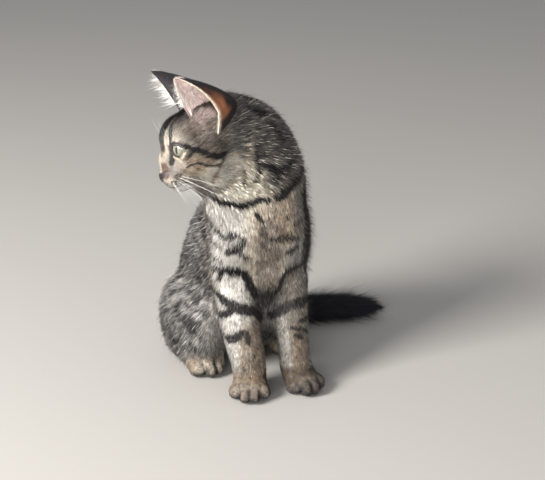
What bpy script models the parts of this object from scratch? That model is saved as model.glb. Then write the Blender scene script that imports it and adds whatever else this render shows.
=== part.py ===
"""A sitting tabby kitten, life size, with its head turned to its own right.

Metres, +Z up, the floor at z = 0. The kitten's chest faces -Y, its left side is +X.
The body is one soft form, made of rounded masses that are fused and smoothed.
It is then parted by thin cuts into head, neck, trunk, legs, paws and tail.
Ears are thin shells and eyes are balls in their sockets.
The solids reach out to the tips of the coat.
"""

import math

import bmesh
import bpy
from mathutils import Matrix, Vector

CM = 0.01  # the masses below are in centimetres
GAP = 0.0003  # left between neighbouring solids, in metres

# Where the head sits, and how it is turned: yaw to its right, nose down, left ear raised.
HEAD_CENTRE = (-5.6, 4.6, 21.9)
HEAD_YAW, HEAD_PITCH, HEAD_ROLL = -88.0, 20.0, -9.0
HIPS_AT, HIPS_YAW = (-1.15, 10.2, 0.0), 13.0  # the hind end sits askew, to the kitten's right

# Eyes and ears: the left one, in the head's own frame. The right one mirrors it.
EYE_CENTRE, EYE_RADIUS = (1.76, -1.55, 0.33), 0.95
EAR_HEIGHT, EAR_WALL = 5.3, 0.22
EAR_HALF_WIDTH, EAR_DEPTH = 1.8, 2.75
EAR_LEAN = 1.3  # how far the tip leans back
EAR_ROOT = (2.25, 1.2, 1.5)
EAR_POINTS = (0.35, -0.1, 0.86)  # the way it stands
EAR_OPENS = (0.49, -0.83, 0.0)  # the way its opening looks

# Paws and tail.
PAW_LENGTH = 4.0
FOREPAW_WIDTH, HINDPAW_WIDTH = 3.7, 3.7
TOES = (-0.72, -0.25, 0.25, 0.72)  # their places across the paw, from its middle to its edge
TAIL_RADIUS = 1.4

# Fineness of the fused form.
VOXEL = 0.0020
BODY_SMOOTHING, HEAD_SMOOTHING = 20, 7
KEPT_TRIANGLES = 3500

TABBY_GREY = (0.23, 0.20, 0.17)
CREAM = (0.58, 0.49, 0.38)
DARK = (0.04, 0.037, 0.035)
IRIS = (0.35, 0.40, 0.28)


# ---------------------------------------------------------------- placing


def turn(yaw=0.0, pitch=0.0, roll=0.0):
    """Yaw about Z, then pitch about the turned X, then roll about the turned Y, in degrees."""
    turned = Matrix.Rotation(math.radians(yaw), 4, "Z")
    turned @= Matrix.Rotation(math.radians(pitch), 4, "X")
    return turned @ Matrix.Rotation(math.radians(roll), 4, "Y")


def place(at, yaw=0.0, pitch=0.0, roll=0.0):
    return Matrix.Translation(Vector(at)) @ turn(yaw, pitch, roll)


def box(centre, half, yaw=0.0, pitch=0.0, roll=0.0, frame=None):
    """The matrix that takes a unit box or ball to the given centre and half sizes."""
    stretched = place(centre, yaw, pitch, roll) @ Matrix.Diagonal((*half, 1.0))
    return (frame or IDENTITY) @ stretched


IDENTITY = Matrix.Identity(4)
HEAD = place(HEAD_CENTRE, HEAD_YAW, HEAD_PITCH, HEAD_ROLL)
HIPS = place(HIPS_AT, HIPS_YAW)
FOREPAWS = {"right": place((-2.35, 1.35, 0), yaw=-18), "left": place((2.3, 1.25, 0), yaw=6)}
HINDPAWS = {"right": HIPS @ place((-4.35, -2.0, 0), yaw=8), "left": HIPS @ place((4.35, -2.0, 0), yaw=-8)}


# ---------------------------------------------------------------- scene and materials


def clear_scene():
    for obj in list(bpy.data.objects):
        bpy.data.objects.remove(obj)


def collection(name, hidden=False):
    made = bpy.data.collections.new(name)
    bpy.context.scene.collection.children.link(made)
    made.hide_render = hidden
    return made


def coat_material(name, colour, roughness=0.85):
    made = bpy.data.materials.new(name)
    made.use_nodes = True
    shader = made.node_tree.nodes["Principled BSDF"]
    shader.inputs["Base Color"].default_value = (*colour, 1.0)
    shader.inputs["Roughness"].default_value = roughness
    shader.inputs["Metallic"].default_value = 0.0
    return made


def new_object(name, mesh, into):
    obj = bpy.data.objects.new(name, mesh)
    into.objects.link(obj)
    return obj


def object_from(form, name, into):
    """A new object from a bmesh, which is freed."""
    mesh = bpy.data.meshes.new(name)
    form.to_mesh(mesh)
    form.free()
    return new_object(name, mesh, into)


def evaluated_mesh(obj):
    """The object's mesh as its modifiers leave it."""
    bpy.context.view_layer.update()
    graph = bpy.context.evaluated_depsgraph_get()
    mesh = bpy.data.meshes.new_from_object(obj.evaluated_get(graph))
    mesh.name = obj.name
    return mesh


def apply_modifiers(obj):
    mesh = evaluated_mesh(obj)
    obj.modifiers.clear()
    obj.data = mesh


def discard(*objects):
    for obj in objects:
        bpy.data.objects.remove(obj)


# ---------------------------------------------------------------- rounded masses


def blob(form, centre, radii, pitch=0.0, yaw=0.0, roll=0.0, frame=IDENTITY):
    """An ellipsoid in a frame of its own."""
    matrix = Matrix.Scale(CM, 4) @ box(centre, radii, yaw, pitch, roll, frame)
    bmesh.ops.create_icosphere(form, subdivisions=3, radius=1.0, matrix=matrix)


def pair(form, centre, radii, yaw=0.0, frame=IDENTITY):
    """The same mass on the right and on the left."""
    for side in (-1, 1):
        blob(form, (side * centre[0], centre[1], centre[2]), radii, yaw=side * yaw, frame=frame)


def limb(form, path, frame=IDENTITY, steps=8):
    """A tapering limb: balls strung closely along a smooth curve through (x, y, z, radius) stations."""
    stations = [Vector(station) for station in path]
    ends = [2 * stations[0] - stations[1], *stations, 2 * stations[-1] - stations[-2]]
    for first, a, b, last in zip(ends, ends[1:], ends[2:], ends[3:]):
        for step in range(steps):
            t = step / steps
            slope = (b - first) * t
            bend = (2 * first - 5 * a + 4 * b - last) * t**2
            ease = (3 * a - first - 3 * b + last) * t**3
            at = 0.5 * (2 * a + slope + bend + ease)
            blob(form, at[:3], (at[3],) * 3, frame=frame)
    blob(form, stations[-1][:3], (stations[-1][3],) * 3, frame=frame)


def trunk_masses(form):
    rump_to_loin = [(-1.4, 12.2, 4.5, 4.3), (-1.25, 11.2, 7.6, 4.7), (-0.8, 9.3, 11.2, 4.7)]
    ribs_to_withers = [(-0.1, 7.0, 14.7, 4.4), (0.2, 5.6, 17.5, 3.85)]
    arched_neck = [(-0.2, 5.1, 19.8, 3.5), (-1.4, 5.0, 21.7, 3.4), (-3.2, 4.9, 22.5, 3.3)]
    limb(form, rump_to_loin + ribs_to_withers + arched_neck)
    blob(form, (-0.4, 4.4, 14.2), (4.4, 3.7, 5.4))  # chest
    blob(form, (-0.2, 3.9, 11.2), (3.1, 2.8, 3.4))  # breast
    blob(form, (-0.6, 7.2, 6.6), (3.6, 4.0, 5.0))  # belly
    limb(form, [(-4.7, 4.5, 19.4, 2.2), (-3.3, 4.4, 17.8, 2.5), (-2.0, 4.4, 15.6, 3.0)])  # throat
    blob(form, (-2.9, 4.7, 13.4), (2.0, 2.7, 4.4))  # right shoulder
    blob(form, (2.25, 4.9, 13.0), (2.1, 2.7, 4.8))  # left shoulder


def hind_leg_masses(form):
    pair(form, (3.75, 0.7, 4.0), (2.9, 4.6, 4.6), yaw=4, frame=HIPS)  # thigh
    pair(form, (4.0, -2.0, 3.8), (2.1, 2.7, 3.2), frame=HIPS)  # knee and shin
    for side in (-1, 1):
        heel_to_toes = [(side * 4.3, 3.4, 1.2, 1.3), (side * 4.3, 0.8, 1.15, 1.35), (side * 4.2, -1.4, 1.1, 1.4)]
        limb(form, heel_to_toes, frame=HIPS)


def foreleg_masses(form):
    right_elbow = [(-3.1, 4.9, 11.2, 2.1), (-3.0, 4.2, 9.2, 1.95)]
    right_shank = [(-2.75, 3.2, 6.2, 1.8), (-2.3, 2.3, 3.4, 1.7), (-2.1, 2.0, 1.9, 1.5)]
    limb(form, right_elbow + right_shank)
    left_elbow = [(1.9, 4.6, 11.2, 2.1), (1.95, 4.0, 9.2, 1.85)]
    left_shank = [(1.95, 3.1, 6.2, 1.6), (1.95, 2.4, 3.4, 1.55), (2.0, 1.9, 1.9, 1.5)]
    limb(form, left_elbow + left_shank)


def paw_masses(form, frame, width):
    """A paw that points along its own -Y, with four toes in an arc."""
    half = width / 2
    blob(form, (0, 0.35, 1.0), (half * 0.86, PAW_LENGTH / 2, 1.12), frame=frame)
    for across in TOES:
        reach = 0.62 * PAW_LENGTH * math.cos(across * 1.25) - 0.75
        blob(form, (across * half, -reach, 0.72), (half * 0.31, 0.85, 0.78), yaw=across * -14, frame=frame)


def tail_masses(form):
    """From the rump it bends to the kitten's left and lies along the floor."""
    r = TAIL_RADIUS
    root = [(0.0, 14.0, 3.0, r + 0.5), (1.8, 15.4, 1.9, r + 0.3), (4.6, 15.6, r, r + 0.1)]
    brush = [(8.0, 14.9, r - 0.05, r), (11.0, 14.3, r - 0.1, r - 0.05)]
    tip = [(13.2, 13.9, r - 0.2, r - 0.35), (14.2, 13.7, 1.0, 0.7)]
    limb(form, root + brush + tip)


def head_masses(form):
    """In the head's own frame: -Y forward, +X its left."""
    blob(form, (0, 0.8, 0.35), (2.95, 3.2, 2.8), frame=HEAD)  # cranium
    blob(form, (0, -1.0, 0.85), (2.25, 2.05, 2.0), frame=HEAD)  # forehead
    pair(form, (1.4, -1.45, 0.95), (1.1, 1.05, 0.9), frame=HEAD)  # brow
    pair(form, (1.95, -0.3, -1.05), (1.35, 2.1, 1.75), yaw=-12, frame=HEAD)  # cheek
    pair(form, (1.6, -1.7, -0.95), (1.1, 1.1, 0.8), frame=HEAD)  # below the eye
    blob(form, (0, -2.75, -0.3), (0.85, 1.2, 1.0), pitch=50, frame=HEAD)  # nose bridge
    blob(form, (0, -3.75, -1.48), (0.66, 0.62, 0.56), frame=HEAD)  # nose tip
    blob(form, (0, -2.7, -1.8), (1.3, 1.4, 1.2), frame=HEAD)  # muzzle
    pair(form, (0.6, -3.2, -1.95), (0.88, 0.85, 0.78), frame=HEAD)  # whisker pad
    blob(form, (0, -2.8, -2.9), (0.85, 0.85, 0.6), frame=HEAD)  # chin
    blob(form, (0, -0.7, -2.2), (2.0, 2.4, 1.4), frame=HEAD)  # jaw


# ---------------------------------------------------------------- the fused body


def fineness(at):
    """1 on the head and the paws, 0 on the body, with a soft change between."""
    from_head = (HEAD.inverted() @ at + Vector((0, 0.6, 0))).length
    detail = 1.0 - max(0.0, min(1.0, from_head / 1.2 - 3.0))
    for frame in (*FOREPAWS.values(), *HINDPAWS.values()):
        from_paw = (frame.inverted() @ at).length
        detail = max(detail, 1.0 - max(0.0, min(1.0, from_paw / 1.2 - 1.9)))
    return detail


def fuse():
    """All masses as one smooth, closed mesh, smoother on the body than on the head and paws."""
    form = bmesh.new()
    trunk_masses(form)
    hind_leg_masses(form)
    foreleg_masses(form)
    for frame in FOREPAWS.values():
        paw_masses(form, frame, FOREPAW_WIDTH)
    for frame in HINDPAWS.values():
        paw_masses(form, frame, HINDPAW_WIDTH)
    tail_masses(form)
    head_masses(form)
    body = object_from(form, "body", helpers)

    remesh = body.modifiers.new("fuse", "REMESH")
    remesh.mode = "VOXEL"
    remesh.voxel_size = VOXEL
    apply_modifiers(body)

    groups = {"fine": HEAD_SMOOTHING, "coarse": BODY_SMOOTHING}
    for name, rounds in groups.items():
        group = body.vertex_groups.new(name=name)
        for vertex in body.data.vertices:
            detail = fineness(vertex.co / CM)
            group.add([vertex.index], detail if name == "fine" else 1 - detail, "REPLACE")
        smooth = body.modifiers.new("smooth " + name, "SMOOTH")
        smooth.factor = 0.5
        smooth.iterations = rounds
        smooth.vertex_group = name
    reduce = body.modifiers.new("reduce", "DECIMATE")
    reduce.ratio = KEPT_TRIANGLES / (2 * len(body.data.polygons))
    apply_modifiers(body)
    return body


# ---------------------------------------------------------------- cutting into nodes


def boolean(obj, cutter, operation):
    cut = obj.modifiers.new(operation.lower(), "BOOLEAN")
    cut.operation = operation
    cut.object = cutter
    apply_modifiers(obj)


def region(shape, matrix, grow=0.0):
    """A closed cutter around one part of the body, a box or a ball, grown by a margin."""
    form = bmesh.new()
    margin = Matrix.Diagonal((*[1 + grow / CM / size for size in matrix.to_scale()], 1.0))
    full = Matrix.Scale(CM, 4) @ matrix @ margin
    if shape == "box":
        bmesh.ops.create_cube(form, size=2.0, matrix=full)
    else:
        bmesh.ops.create_uvsphere(form, u_segments=12, v_segments=8, radius=1.0, matrix=full)
    cutter = object_from(form, "region", helpers)
    cutter.hide_render = True
    cutter.display_type = "WIRE"
    return cutter


def finish_node(obj, material):
    obj.data.materials.clear()
    obj.data.materials.append(material)
    obj.data.shade_smooth()
    obj.data.set_sharp_from_angle(angle=math.radians(50))


def take(body, name, shape, matrix, material):
    """The part of the body inside a region becomes a node, with the gap around it."""
    inner = region(shape, matrix)
    outer = region(shape, matrix, GAP)
    piece = new_object(name, body.data.copy(), kitten)
    boolean(piece, inner, "INTERSECT")
    boolean(body, outer, "DIFFERENCE")
    discard(inner, outer)
    finish_node(piece, material)


def part_body(body):
    """The floor flats first, then each part from the outside in; what is left is the trunk."""
    floor = region("box", box((0, 5, -5), (40, 40, 5)))
    boolean(body, floor, "DIFFERENCE")
    discard(floor)
    for side in ("right", "left"):
        forepaw = box((0, -0.45, 0.2), (2.4, 3.05, 2.2), frame=FOREPAWS[side])
        take(body, "forepaw_" + side, "box", forepaw, cream)
        hindpaw = box((0, -0.9, 0.3), (2.3, 2.4, 2.3), frame=HINDPAWS[side])
        take(body, "hindpaw_" + side, "ball", hindpaw, cream)
    take(body, "foreleg_right", "ball", box((-2.75, 3.5, 4.8), (2.95, 3.6, 6.2), pitch=-12), cream)
    take(body, "foreleg_left", "ball", box((2.3, 3.4, 4.8), (2.4, 3.5, 6.2), pitch=-12), cream)
    take(body, "hindleg_right", "ball", box((-5.0, 0.5, 3.2), (3.6, 6.0, 6.2), frame=HIPS), grey)
    take(body, "hindleg_left", "ball", box((5.0, 0.5, 3.2), (3.6, 6.0, 6.2), frame=HIPS), grey)
    take(body, "tail_tip", "box", box((14.5, 13.6, 2), (4.0, 4.0, 4.0), yaw=-10), dark)
    take(body, "tail_middle", "box", box((8.9, 14.7, 2), (3.4, 4.0, 4.0), yaw=-10), dark)
    take(body, "tail_base", "box", box((5.4, 15.8, 1.8), (3.0, 2.1, 3.6), yaw=8), grey)
    take(body, "head", "ball", box((0, -0.6, -0.1), (4.4, 4.7, 4.4), frame=HEAD), grey)
    take(body, "neck", "box", box((-2.0, 5.0, 25.6), (9, 9, 8.0), roll=-20), grey)
    body.name = "trunk"
    helpers.objects.unlink(body)
    kitten.objects.link(body)
    body.vertex_groups.clear()
    finish_node(body, grey)


# ---------------------------------------------------------------- eyes and ears


def eyeball(name, at, radius, into):
    form = bmesh.new()
    seat = Matrix.Scale(CM, 4) @ Matrix.Translation(at)
    bmesh.ops.create_uvsphere(form, u_segments=16, v_segments=10, radius=radius, matrix=seat)
    return object_from(form, name, into)


def eye(side, s):
    """An eyeball, and its socket in the head, a little more than the gap wider."""
    at = HEAD @ Vector((s * EYE_CENTRE[0], EYE_CENTRE[1], EYE_CENTRE[2]))
    socket = eyeball("socket", at, EYE_RADIUS + 1.3 * GAP / CM, helpers)
    boolean(bpy.data.objects["head"], socket, "DIFFERENCE")
    discard(socket)
    finish_node(eyeball("eye_" + side, at, EYE_RADIUS, kitten), iris)


def ear_frame(s):
    """The ear's own frame in the head: Z towards its tip, -Y out of its opening."""
    up = Vector((s * EAR_POINTS[0], EAR_POINTS[1], EAR_POINTS[2])).normalized()
    back = -Vector((s * EAR_OPENS[0], EAR_OPENS[1], EAR_OPENS[2]))
    across = back.cross(up).normalized()
    stand = Matrix((across, up.cross(across), up)).transposed().to_4x4()
    stand.translation = Vector((s * EAR_ROOT[0], EAR_ROOT[1], EAR_ROOT[2]))
    return HEAD @ stand


def ear_surface(name, s, rows=7, columns=8):
    """A leaf of arcs around the ear's axis: a deep cup at the root, almost flat at the tip."""
    form = bmesh.new()
    grid = []
    for row in range(rows + 1):
        up = row / rows
        half_width = EAR_HALF_WIDTH * (1 - up) ** 0.66 * (1 + 0.75 * up) * min(1.0, 0.72 + up) + 0.12
        depth = EAR_DEPTH * (1 - up) ** 0.9 * (1 + 0.25 * up) + 0.02
        spread = math.radians(105 - 30 * up)
        lean = EAR_LEAN * up**1.3
        line = []
        for column in range(columns + 1):
            around = spread * (2 * column / columns - 1)
            x = half_width * math.sin(around)
            y = depth * math.cos(around) - lean
            line.append(form.verts.new((x, y, EAR_HEIGHT * up)))
        grid.append(line)
    for low, high in zip(grid, grid[1:]):
        for column in range(columns):
            form.faces.new((low[column], low[column + 1], high[column + 1], high[column]))
    bmesh.ops.transform(form, matrix=Matrix.Scale(CM, 4) @ ear_frame(s), verts=form.verts)
    return object_from(form, name, kitten)


def ear(side, s):
    """A thin curved shell that stands on the head, trimmed where it meets the head and neck."""
    shell = ear_surface("ear_" + side, s)
    wall = shell.modifiers.new("wall", "SOLIDIFY")
    wall.thickness = EAR_WALL * CM
    wall.offset = 0.0
    apply_modifiers(shell)
    for flesh in ("head", "neck"):
        grown = new_object("grown", bpy.data.objects[flesh].data.copy(), helpers)
        swell = grown.modifiers.new("gap", "DISPLACE")
        swell.strength = GAP
        swell.mid_level = 0.0
        apply_modifiers(grown)
        boolean(shell, grown, "DIFFERENCE")
        discard(grown)
    finish_node(shell, grey)


def centre_over_origin():
    """Puts the origin on the floor under the middle of the whole kitten."""
    points = [vertex.co for obj in kitten.objects for vertex in obj.data.vertices]
    middle_x = (min(p.x for p in points) + max(p.x for p in points)) / 2
    middle_y = (min(p.y for p in points) + max(p.y for p in points)) / 2
    for obj in kitten.objects:
        obj.data.transform(Matrix.Translation((-middle_x, -middle_y, 0)))


# ---------------------------------------------------------------- build


clear_scene()
kitten = collection("sitting_kitten")
helpers = collection("helpers", hidden=True)
grey = coat_material("tabby_grey", TABBY_GREY)
cream = coat_material("cream_coat", CREAM)
dark = coat_material("dark_coat", DARK)
iris = coat_material("eye", IRIS, roughness=0.05)

part_body(fuse())
for side_name, sign in (("right", -1), ("left", 1)):
    eye(side_name, sign)
for side_name, sign in (("right", -1), ("left", 1)):
    ear(side_name, sign)
centre_over_origin()
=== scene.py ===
"""The looks of a sitting tabby kitten: its skin, eyes, coat and whiskers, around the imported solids.

One skin is drawn round all the solids of flesh and sunk into them by the depth of the coat.
The coat is grown on it as thin solid tufts. Skin and coat take their colours from one set of markings.
Lengths are in centimetres in the frame in which the kitten was designed, until a mesh is made.
"""

import itertools
import math

import bmesh
import bpy
import numpy as np
from mathutils import Matrix, Vector
from mathutils.kdtree import KDTree


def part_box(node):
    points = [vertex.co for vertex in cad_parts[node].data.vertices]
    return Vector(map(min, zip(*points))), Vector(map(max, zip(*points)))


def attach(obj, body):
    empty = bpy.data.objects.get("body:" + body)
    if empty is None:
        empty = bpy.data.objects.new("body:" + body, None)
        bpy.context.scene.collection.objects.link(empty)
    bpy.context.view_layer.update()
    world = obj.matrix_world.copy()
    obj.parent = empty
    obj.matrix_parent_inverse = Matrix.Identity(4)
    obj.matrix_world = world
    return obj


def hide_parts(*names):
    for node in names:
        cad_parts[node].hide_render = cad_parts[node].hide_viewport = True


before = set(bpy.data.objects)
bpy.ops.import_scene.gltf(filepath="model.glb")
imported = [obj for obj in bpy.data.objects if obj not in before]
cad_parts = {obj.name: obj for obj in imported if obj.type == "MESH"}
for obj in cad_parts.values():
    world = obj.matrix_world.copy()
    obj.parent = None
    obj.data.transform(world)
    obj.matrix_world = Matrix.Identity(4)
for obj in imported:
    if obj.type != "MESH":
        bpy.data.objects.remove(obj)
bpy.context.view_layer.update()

CM = 0.01
RNG = np.random.default_rng(11)

# The pose, as in the solids.
HEAD_CENTRE = (-5.6, 4.6, 21.9)
HEAD_YAW, HEAD_PITCH, HEAD_ROLL = -88.0, 20.0, -9.0
HIPS_AT, HIPS_YAW = (-1.15, 10.2, 0.0), 13.0
EYE_CENTRE, EYE_RADIUS = (1.76, -1.55, 0.33), 0.95
EAR_HEIGHT, EAR_HALF_WIDTH, EAR_DEPTH, EAR_LEAN = 5.3, 1.8, 2.75, 1.3
EAR_ROOT = (2.25, 1.2, 1.5)
EAR_POINTS = (0.35, -0.1, 0.86)
EAR_OPENS = (0.49, -0.83, 0.0)
SIDES = {"right": -1, "left": 1}


# ---------------------------------------------------------------- frames


def placed(at, yaw=0.0, pitch=0.0, roll=0.0):
    """The frame at a point, turned about Z, then X, then Y, in degrees."""
    turned = Matrix.Rotation(math.radians(yaw), 4, "Z")
    turned @= Matrix.Rotation(math.radians(pitch), 4, "X")
    turned @= Matrix.Rotation(math.radians(roll), 4, "Y")
    return Matrix.Translation(Vector(at)) @ turned


HEAD = placed(HEAD_CENTRE, HEAD_YAW, HEAD_PITCH, HEAD_ROLL)
HIPS = placed(HIPS_AT, HIPS_YAW)
FOREPAWS = {"right": placed((-2.35, 1.35, 0), yaw=-18), "left": placed((2.3, 1.25, 0), yaw=6)}
HINDPAWS = {"right": HIPS @ placed((-4.35, -2.0, 0), yaw=8), "left": HIPS @ placed((4.35, -2.0, 0), yaw=-8)}


def middle(node):
    low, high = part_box(node)
    return (low + high) / 2


# The design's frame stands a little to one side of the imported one; the eye shows by how much.
SHIFT = np.array(middle("eye_left") - CM * (HEAD @ Vector(EYE_CENTRE)))


def to_world(points):
    return np.asarray(points) * CM + SHIFT


def from_world(points):
    return (np.asarray(points) - SHIFT) / CM


def moved(points, matrix):
    """Points taken through a 4 by 4 matrix."""
    grid = np.array(matrix)
    return np.asarray(points) @ grid[:3, :3].T + grid[:3, 3]


def turned(vectors, matrix):
    return np.asarray(vectors) @ np.array(matrix)[:3, :3].T


def in_head(points):
    return moved(points, HEAD.inverted())


def mirrored(points):
    """Points of the head's frame, those on its right brought over to its left."""
    return np.column_stack((np.abs(points[:, 0]), points[:, 1:]))


# ---------------------------------------------------------------- small mathematics


def unit(vectors):
    return vectors / np.maximum(np.linalg.norm(vectors, axis=-1, keepdims=True), 1e-9)


def ramp(low, high, value):
    """0 below low, 1 above high, smooth between; low may be the greater."""
    t = np.clip((value - low) / (high - low), 0.0, 1.0)
    return t * t * (3 - 2 * t)


def mix(a, b, share):
    """Numbers between a and b."""
    return a * (1 - share) + b * share


def tint(a, b, share):
    """Colours or points between a and b."""
    share = np.asarray(share, float)[..., None]
    return np.asarray(a) * (1 - share) + np.asarray(b) * share


def noise(points, cell, seed):
    """Smooth noise from -1 to 1, with lumps about one cell wide."""
    at = np.asarray(points) / cell + 31.7 + 17.3 * seed
    base = np.floor(at).astype(np.int64)
    part = at - base
    part = part * part * (3 - 2 * part)
    total = np.zeros(len(at))
    for corner in itertools.product((0, 1), repeat=3):
        cube = base + corner
        key = cube[:, 0] * 73856093 ^ cube[:, 1] * 19349663 ^ cube[:, 2] * 83492791
        key = (key * 1103515245 + 12345 + seed * 977) & 0x7FFFFFFF
        key = (key ^ (key >> 15)) * 2246822519 & 0x7FFFFFFF
        value = ((key ^ (key >> 13)) & 0xFFFF) / 32767.5 - 1
        share = np.where(corner, part, 1 - part).prod(axis=1)
        total += value * share
    return total


def curve_through(points, step):
    """A smooth curve through points, sampled about every step."""
    points = np.asarray(points, float)
    if len(points) < 2:
        return points
    ends = np.vstack((2 * points[0] - points[1], points, 2 * points[-1] - points[-2]))
    made = []
    for first, a, b, last in zip(ends, ends[1:], ends[2:], ends[3:]):
        count = max(2, int(np.linalg.norm((b - a)[:3]) / step))
        t = (np.arange(count) / count)[:, None]
        slope = (b - first) * t
        bend = (2 * first - 5 * a + 4 * b - last) * t**2
        ease = (3 * a - first - 3 * b + last) * t**3
        made.append(0.5 * (2 * a + slope + bend + ease))
    made.append(points[-1:])
    return np.vstack(made)


# ---------------------------------------------------------------- meshes


def linked(name, data):
    """An object in the scene."""
    obj = bpy.data.objects.new(name, data)
    bpy.context.scene.collection.objects.link(obj)
    return obj


def mesh_object(name, points, faces):
    """An object from points in world metres; faces is an array of triangles or of quads."""
    faces = np.asarray(faces, np.int32)
    mesh = bpy.data.meshes.new(name)
    mesh.vertices.add(len(points))
    mesh.vertices.foreach_set("co", np.asarray(points, np.float32).ravel())
    mesh.loops.add(faces.size)
    mesh.loops.foreach_set("vertex_index", faces.ravel())
    mesh.polygons.add(len(faces))
    mesh.polygons.foreach_set("loop_start", np.arange(len(faces), dtype=np.int32) * faces.shape[1])
    mesh.polygons.foreach_set("use_smooth", np.full(len(faces), True))
    mesh.update(calc_edges=True)
    return linked(name, mesh)


def move_points(obj, points):
    """Puts an object's points, given in the design's frame, back into its mesh."""
    obj.data.vertices.foreach_set("co", to_world(points).astype(np.float32).ravel())
    obj.data.update()


def paint(obj, name, values):
    """A colour for each vertex, kept in a named attribute."""
    values = np.asarray(values, np.float32)
    layer = obj.data.color_attributes.new(name, "FLOAT_COLOR", "POINT")
    full = np.ones((len(values), 4), np.float32)
    full[:, : values.shape[1]] = values
    layer.data.foreach_set("color", full.ravel())


def array_of(items, name, width, kind=np.int32):
    """A property of a mesh's vertices, edges, triangles or corners, a row for each."""
    flat = np.empty(len(items) * width, kind)
    items.foreach_get(name, flat)
    return flat.reshape(-1, width)


def points_of(mesh):
    return array_of(mesh.vertices, "co", 3, np.float32).astype(float)


def normals_at(points, triangles):
    """A smooth normal for each point."""
    a, b, c = (points[triangles[:, k]] for k in range(3))
    facing = np.cross(b - a, c - a)
    total = np.zeros_like(points)
    for k in range(3):
        np.add.at(total, triangles[:, k], facing)
    return unit(total)


def spread_over(values, edges, rounds, count):
    """Values on the vertices, evened out along the edges."""
    degree = np.bincount(edges.ravel(), minlength=count).astype(float)
    degree = np.maximum(degree, 1).reshape((-1,) + (1,) * (values.ndim - 1))
    for _ in range(rounds):
        total = np.zeros_like(values)
        np.add.at(total, edges[:, 0], values[edges[:, 1]])
        np.add.at(total, edges[:, 1], values[edges[:, 0]])
        values = 0.5 * values + 0.5 * total / degree
    return values


def with_modifiers(obj):
    """Puts what the object's modifiers make into its mesh."""
    bpy.context.view_layer.update()
    graph = bpy.context.evaluated_depsgraph_get()
    mesh = bpy.data.meshes.new_from_object(obj.evaluated_get(graph))
    obj.modifiers.clear()
    obj.data = mesh


def remesh(obj, voxel, smoothing):
    """One closed surface of faces a voxel wide, smoothed a few times."""
    fused = obj.modifiers.new("fuse", "REMESH")
    fused.mode = "VOXEL"
    fused.voxel_size = voxel * CM
    evened = obj.modifiers.new("even", "SMOOTH")
    evened.factor = 0.5
    evened.iterations = smoothing
    with_modifiers(obj)


def joined(points, faces):
    """The faces of several meshes numbered for their points in one list."""
    starts = np.cumsum([0] + [len(some) for some in points[:-1]])
    return np.vstack([some + start for some, start in zip(faces, starts)])


def wrapped_quads(grid):
    """Quads between each row of a grid of point numbers and the next; the rows are closed rings."""
    beside = np.roll(grid, -1, axis=1)
    return np.stack((grid[:-1], beside[:-1], beside[1:], grid[1:]), axis=-1).reshape(-1, 4)


def nearest(targets, points):
    """For each point, the index of the nearest target."""
    tree = KDTree(len(targets))
    for index, target in enumerate(targets):
        tree.insert(target, index)
    tree.balance()
    return np.array([tree.find(point)[1] for point in points])


# ---------------------------------------------------------------- which part of the body


NODES = sorted(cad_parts)
EYES = [name for name in NODES if name.startswith("eye")]
EARS = [name for name in NODES if name.startswith("ear")]
FLESH = [name for name in NODES if name not in EYES]
# For each part of the body, in cm and degrees: how deep its coat is, how long, wide and steep its tufts
# are, and how many of them grow on a square centimetre.
COAT = {
    "head": (0.26, 0.48, 0.034, 18, 520),
    "neck": (0.42, 0.68, 0.040, 24, 350),
    "trunk": (0.42, 0.68, 0.042, 24, 300),
    "foreleg": (0.22, 0.40, 0.034, 18, 470),
    "forepaw": (0.11, 0.22, 0.030, 13, 340),
    "hindleg": (0.42, 0.74, 0.042, 24, 280),
    "hindpaw": (0.13, 0.26, 0.032, 14, 310),
    "tail": (0.60, 1.4, 0.042, 30, 450),
}
PARTS = tuple(COAT)
COAT_DEPTH, TUFT_LENGTH, TUFT_WIDTH, TUFT_LIFT, TUFTS_PER_CM2 = map(np.array, zip(*COAT.values()))
# The same on the front of the head.
FACE_DEPTH, FACE_WIDTH, FACE_LIFT, FACE_TUFTS = 0.11, 0.026, 17.0, 1150.0
FACE_LENGTH, CHEEKS_LONGER = 0.17, 0.30  # tufts at the nose, and how much longer they are on the cheeks
BODY_NODES = [name for name in FLESH if name not in EARS]
NODE_POINTS = [from_world(points_of(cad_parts[name].data)) for name in BODY_NODES]
NODE_OF_POINT = np.repeat(np.arange(len(BODY_NODES)), [len(points) for points in NODE_POINTS])
PART_OF_NODE = np.array([PARTS.index(name.split("_")[0]) for name in BODY_NODES])


def parts_at(points):
    """For each point, the share of each part of the body: 1 for the nearest part, 0 for the others."""
    found = PART_OF_NODE[NODE_OF_POINT[nearest(np.vstack(NODE_POINTS), points)]]
    return np.eye(len(PARTS))[found]


def part_share(shares, name):
    """The shares of one part of the body."""
    return shares[:, PARTS.index(name)]


def paw_share(shares):
    return part_share(shares, "forepaw") + part_share(shares, "hindpaw")


# ---------------------------------------------------------------- the skin


class Skin:
    """The skin's mesh as arrays, in design centimetres, with what the coat needs to know at each vertex."""

    def __init__(self, obj):
        obj.data.calc_loop_triangles()
        self.points = from_world(points_of(obj.data))
        self.triangles = array_of(obj.data.loop_triangles, "vertices", 3)
        self.edges = array_of(obj.data.edges, "vertices", 2)
        self.normals = normals_at(self.points, self.triangles)

    def even(self, values, rounds):
        return spread_over(values, self.edges, rounds, len(self.points))


SWELL = 0.03 * CM  # closes the gaps between the solids
FORM_VOXEL, SKIN_VOXEL = 0.15, 0.18


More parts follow.
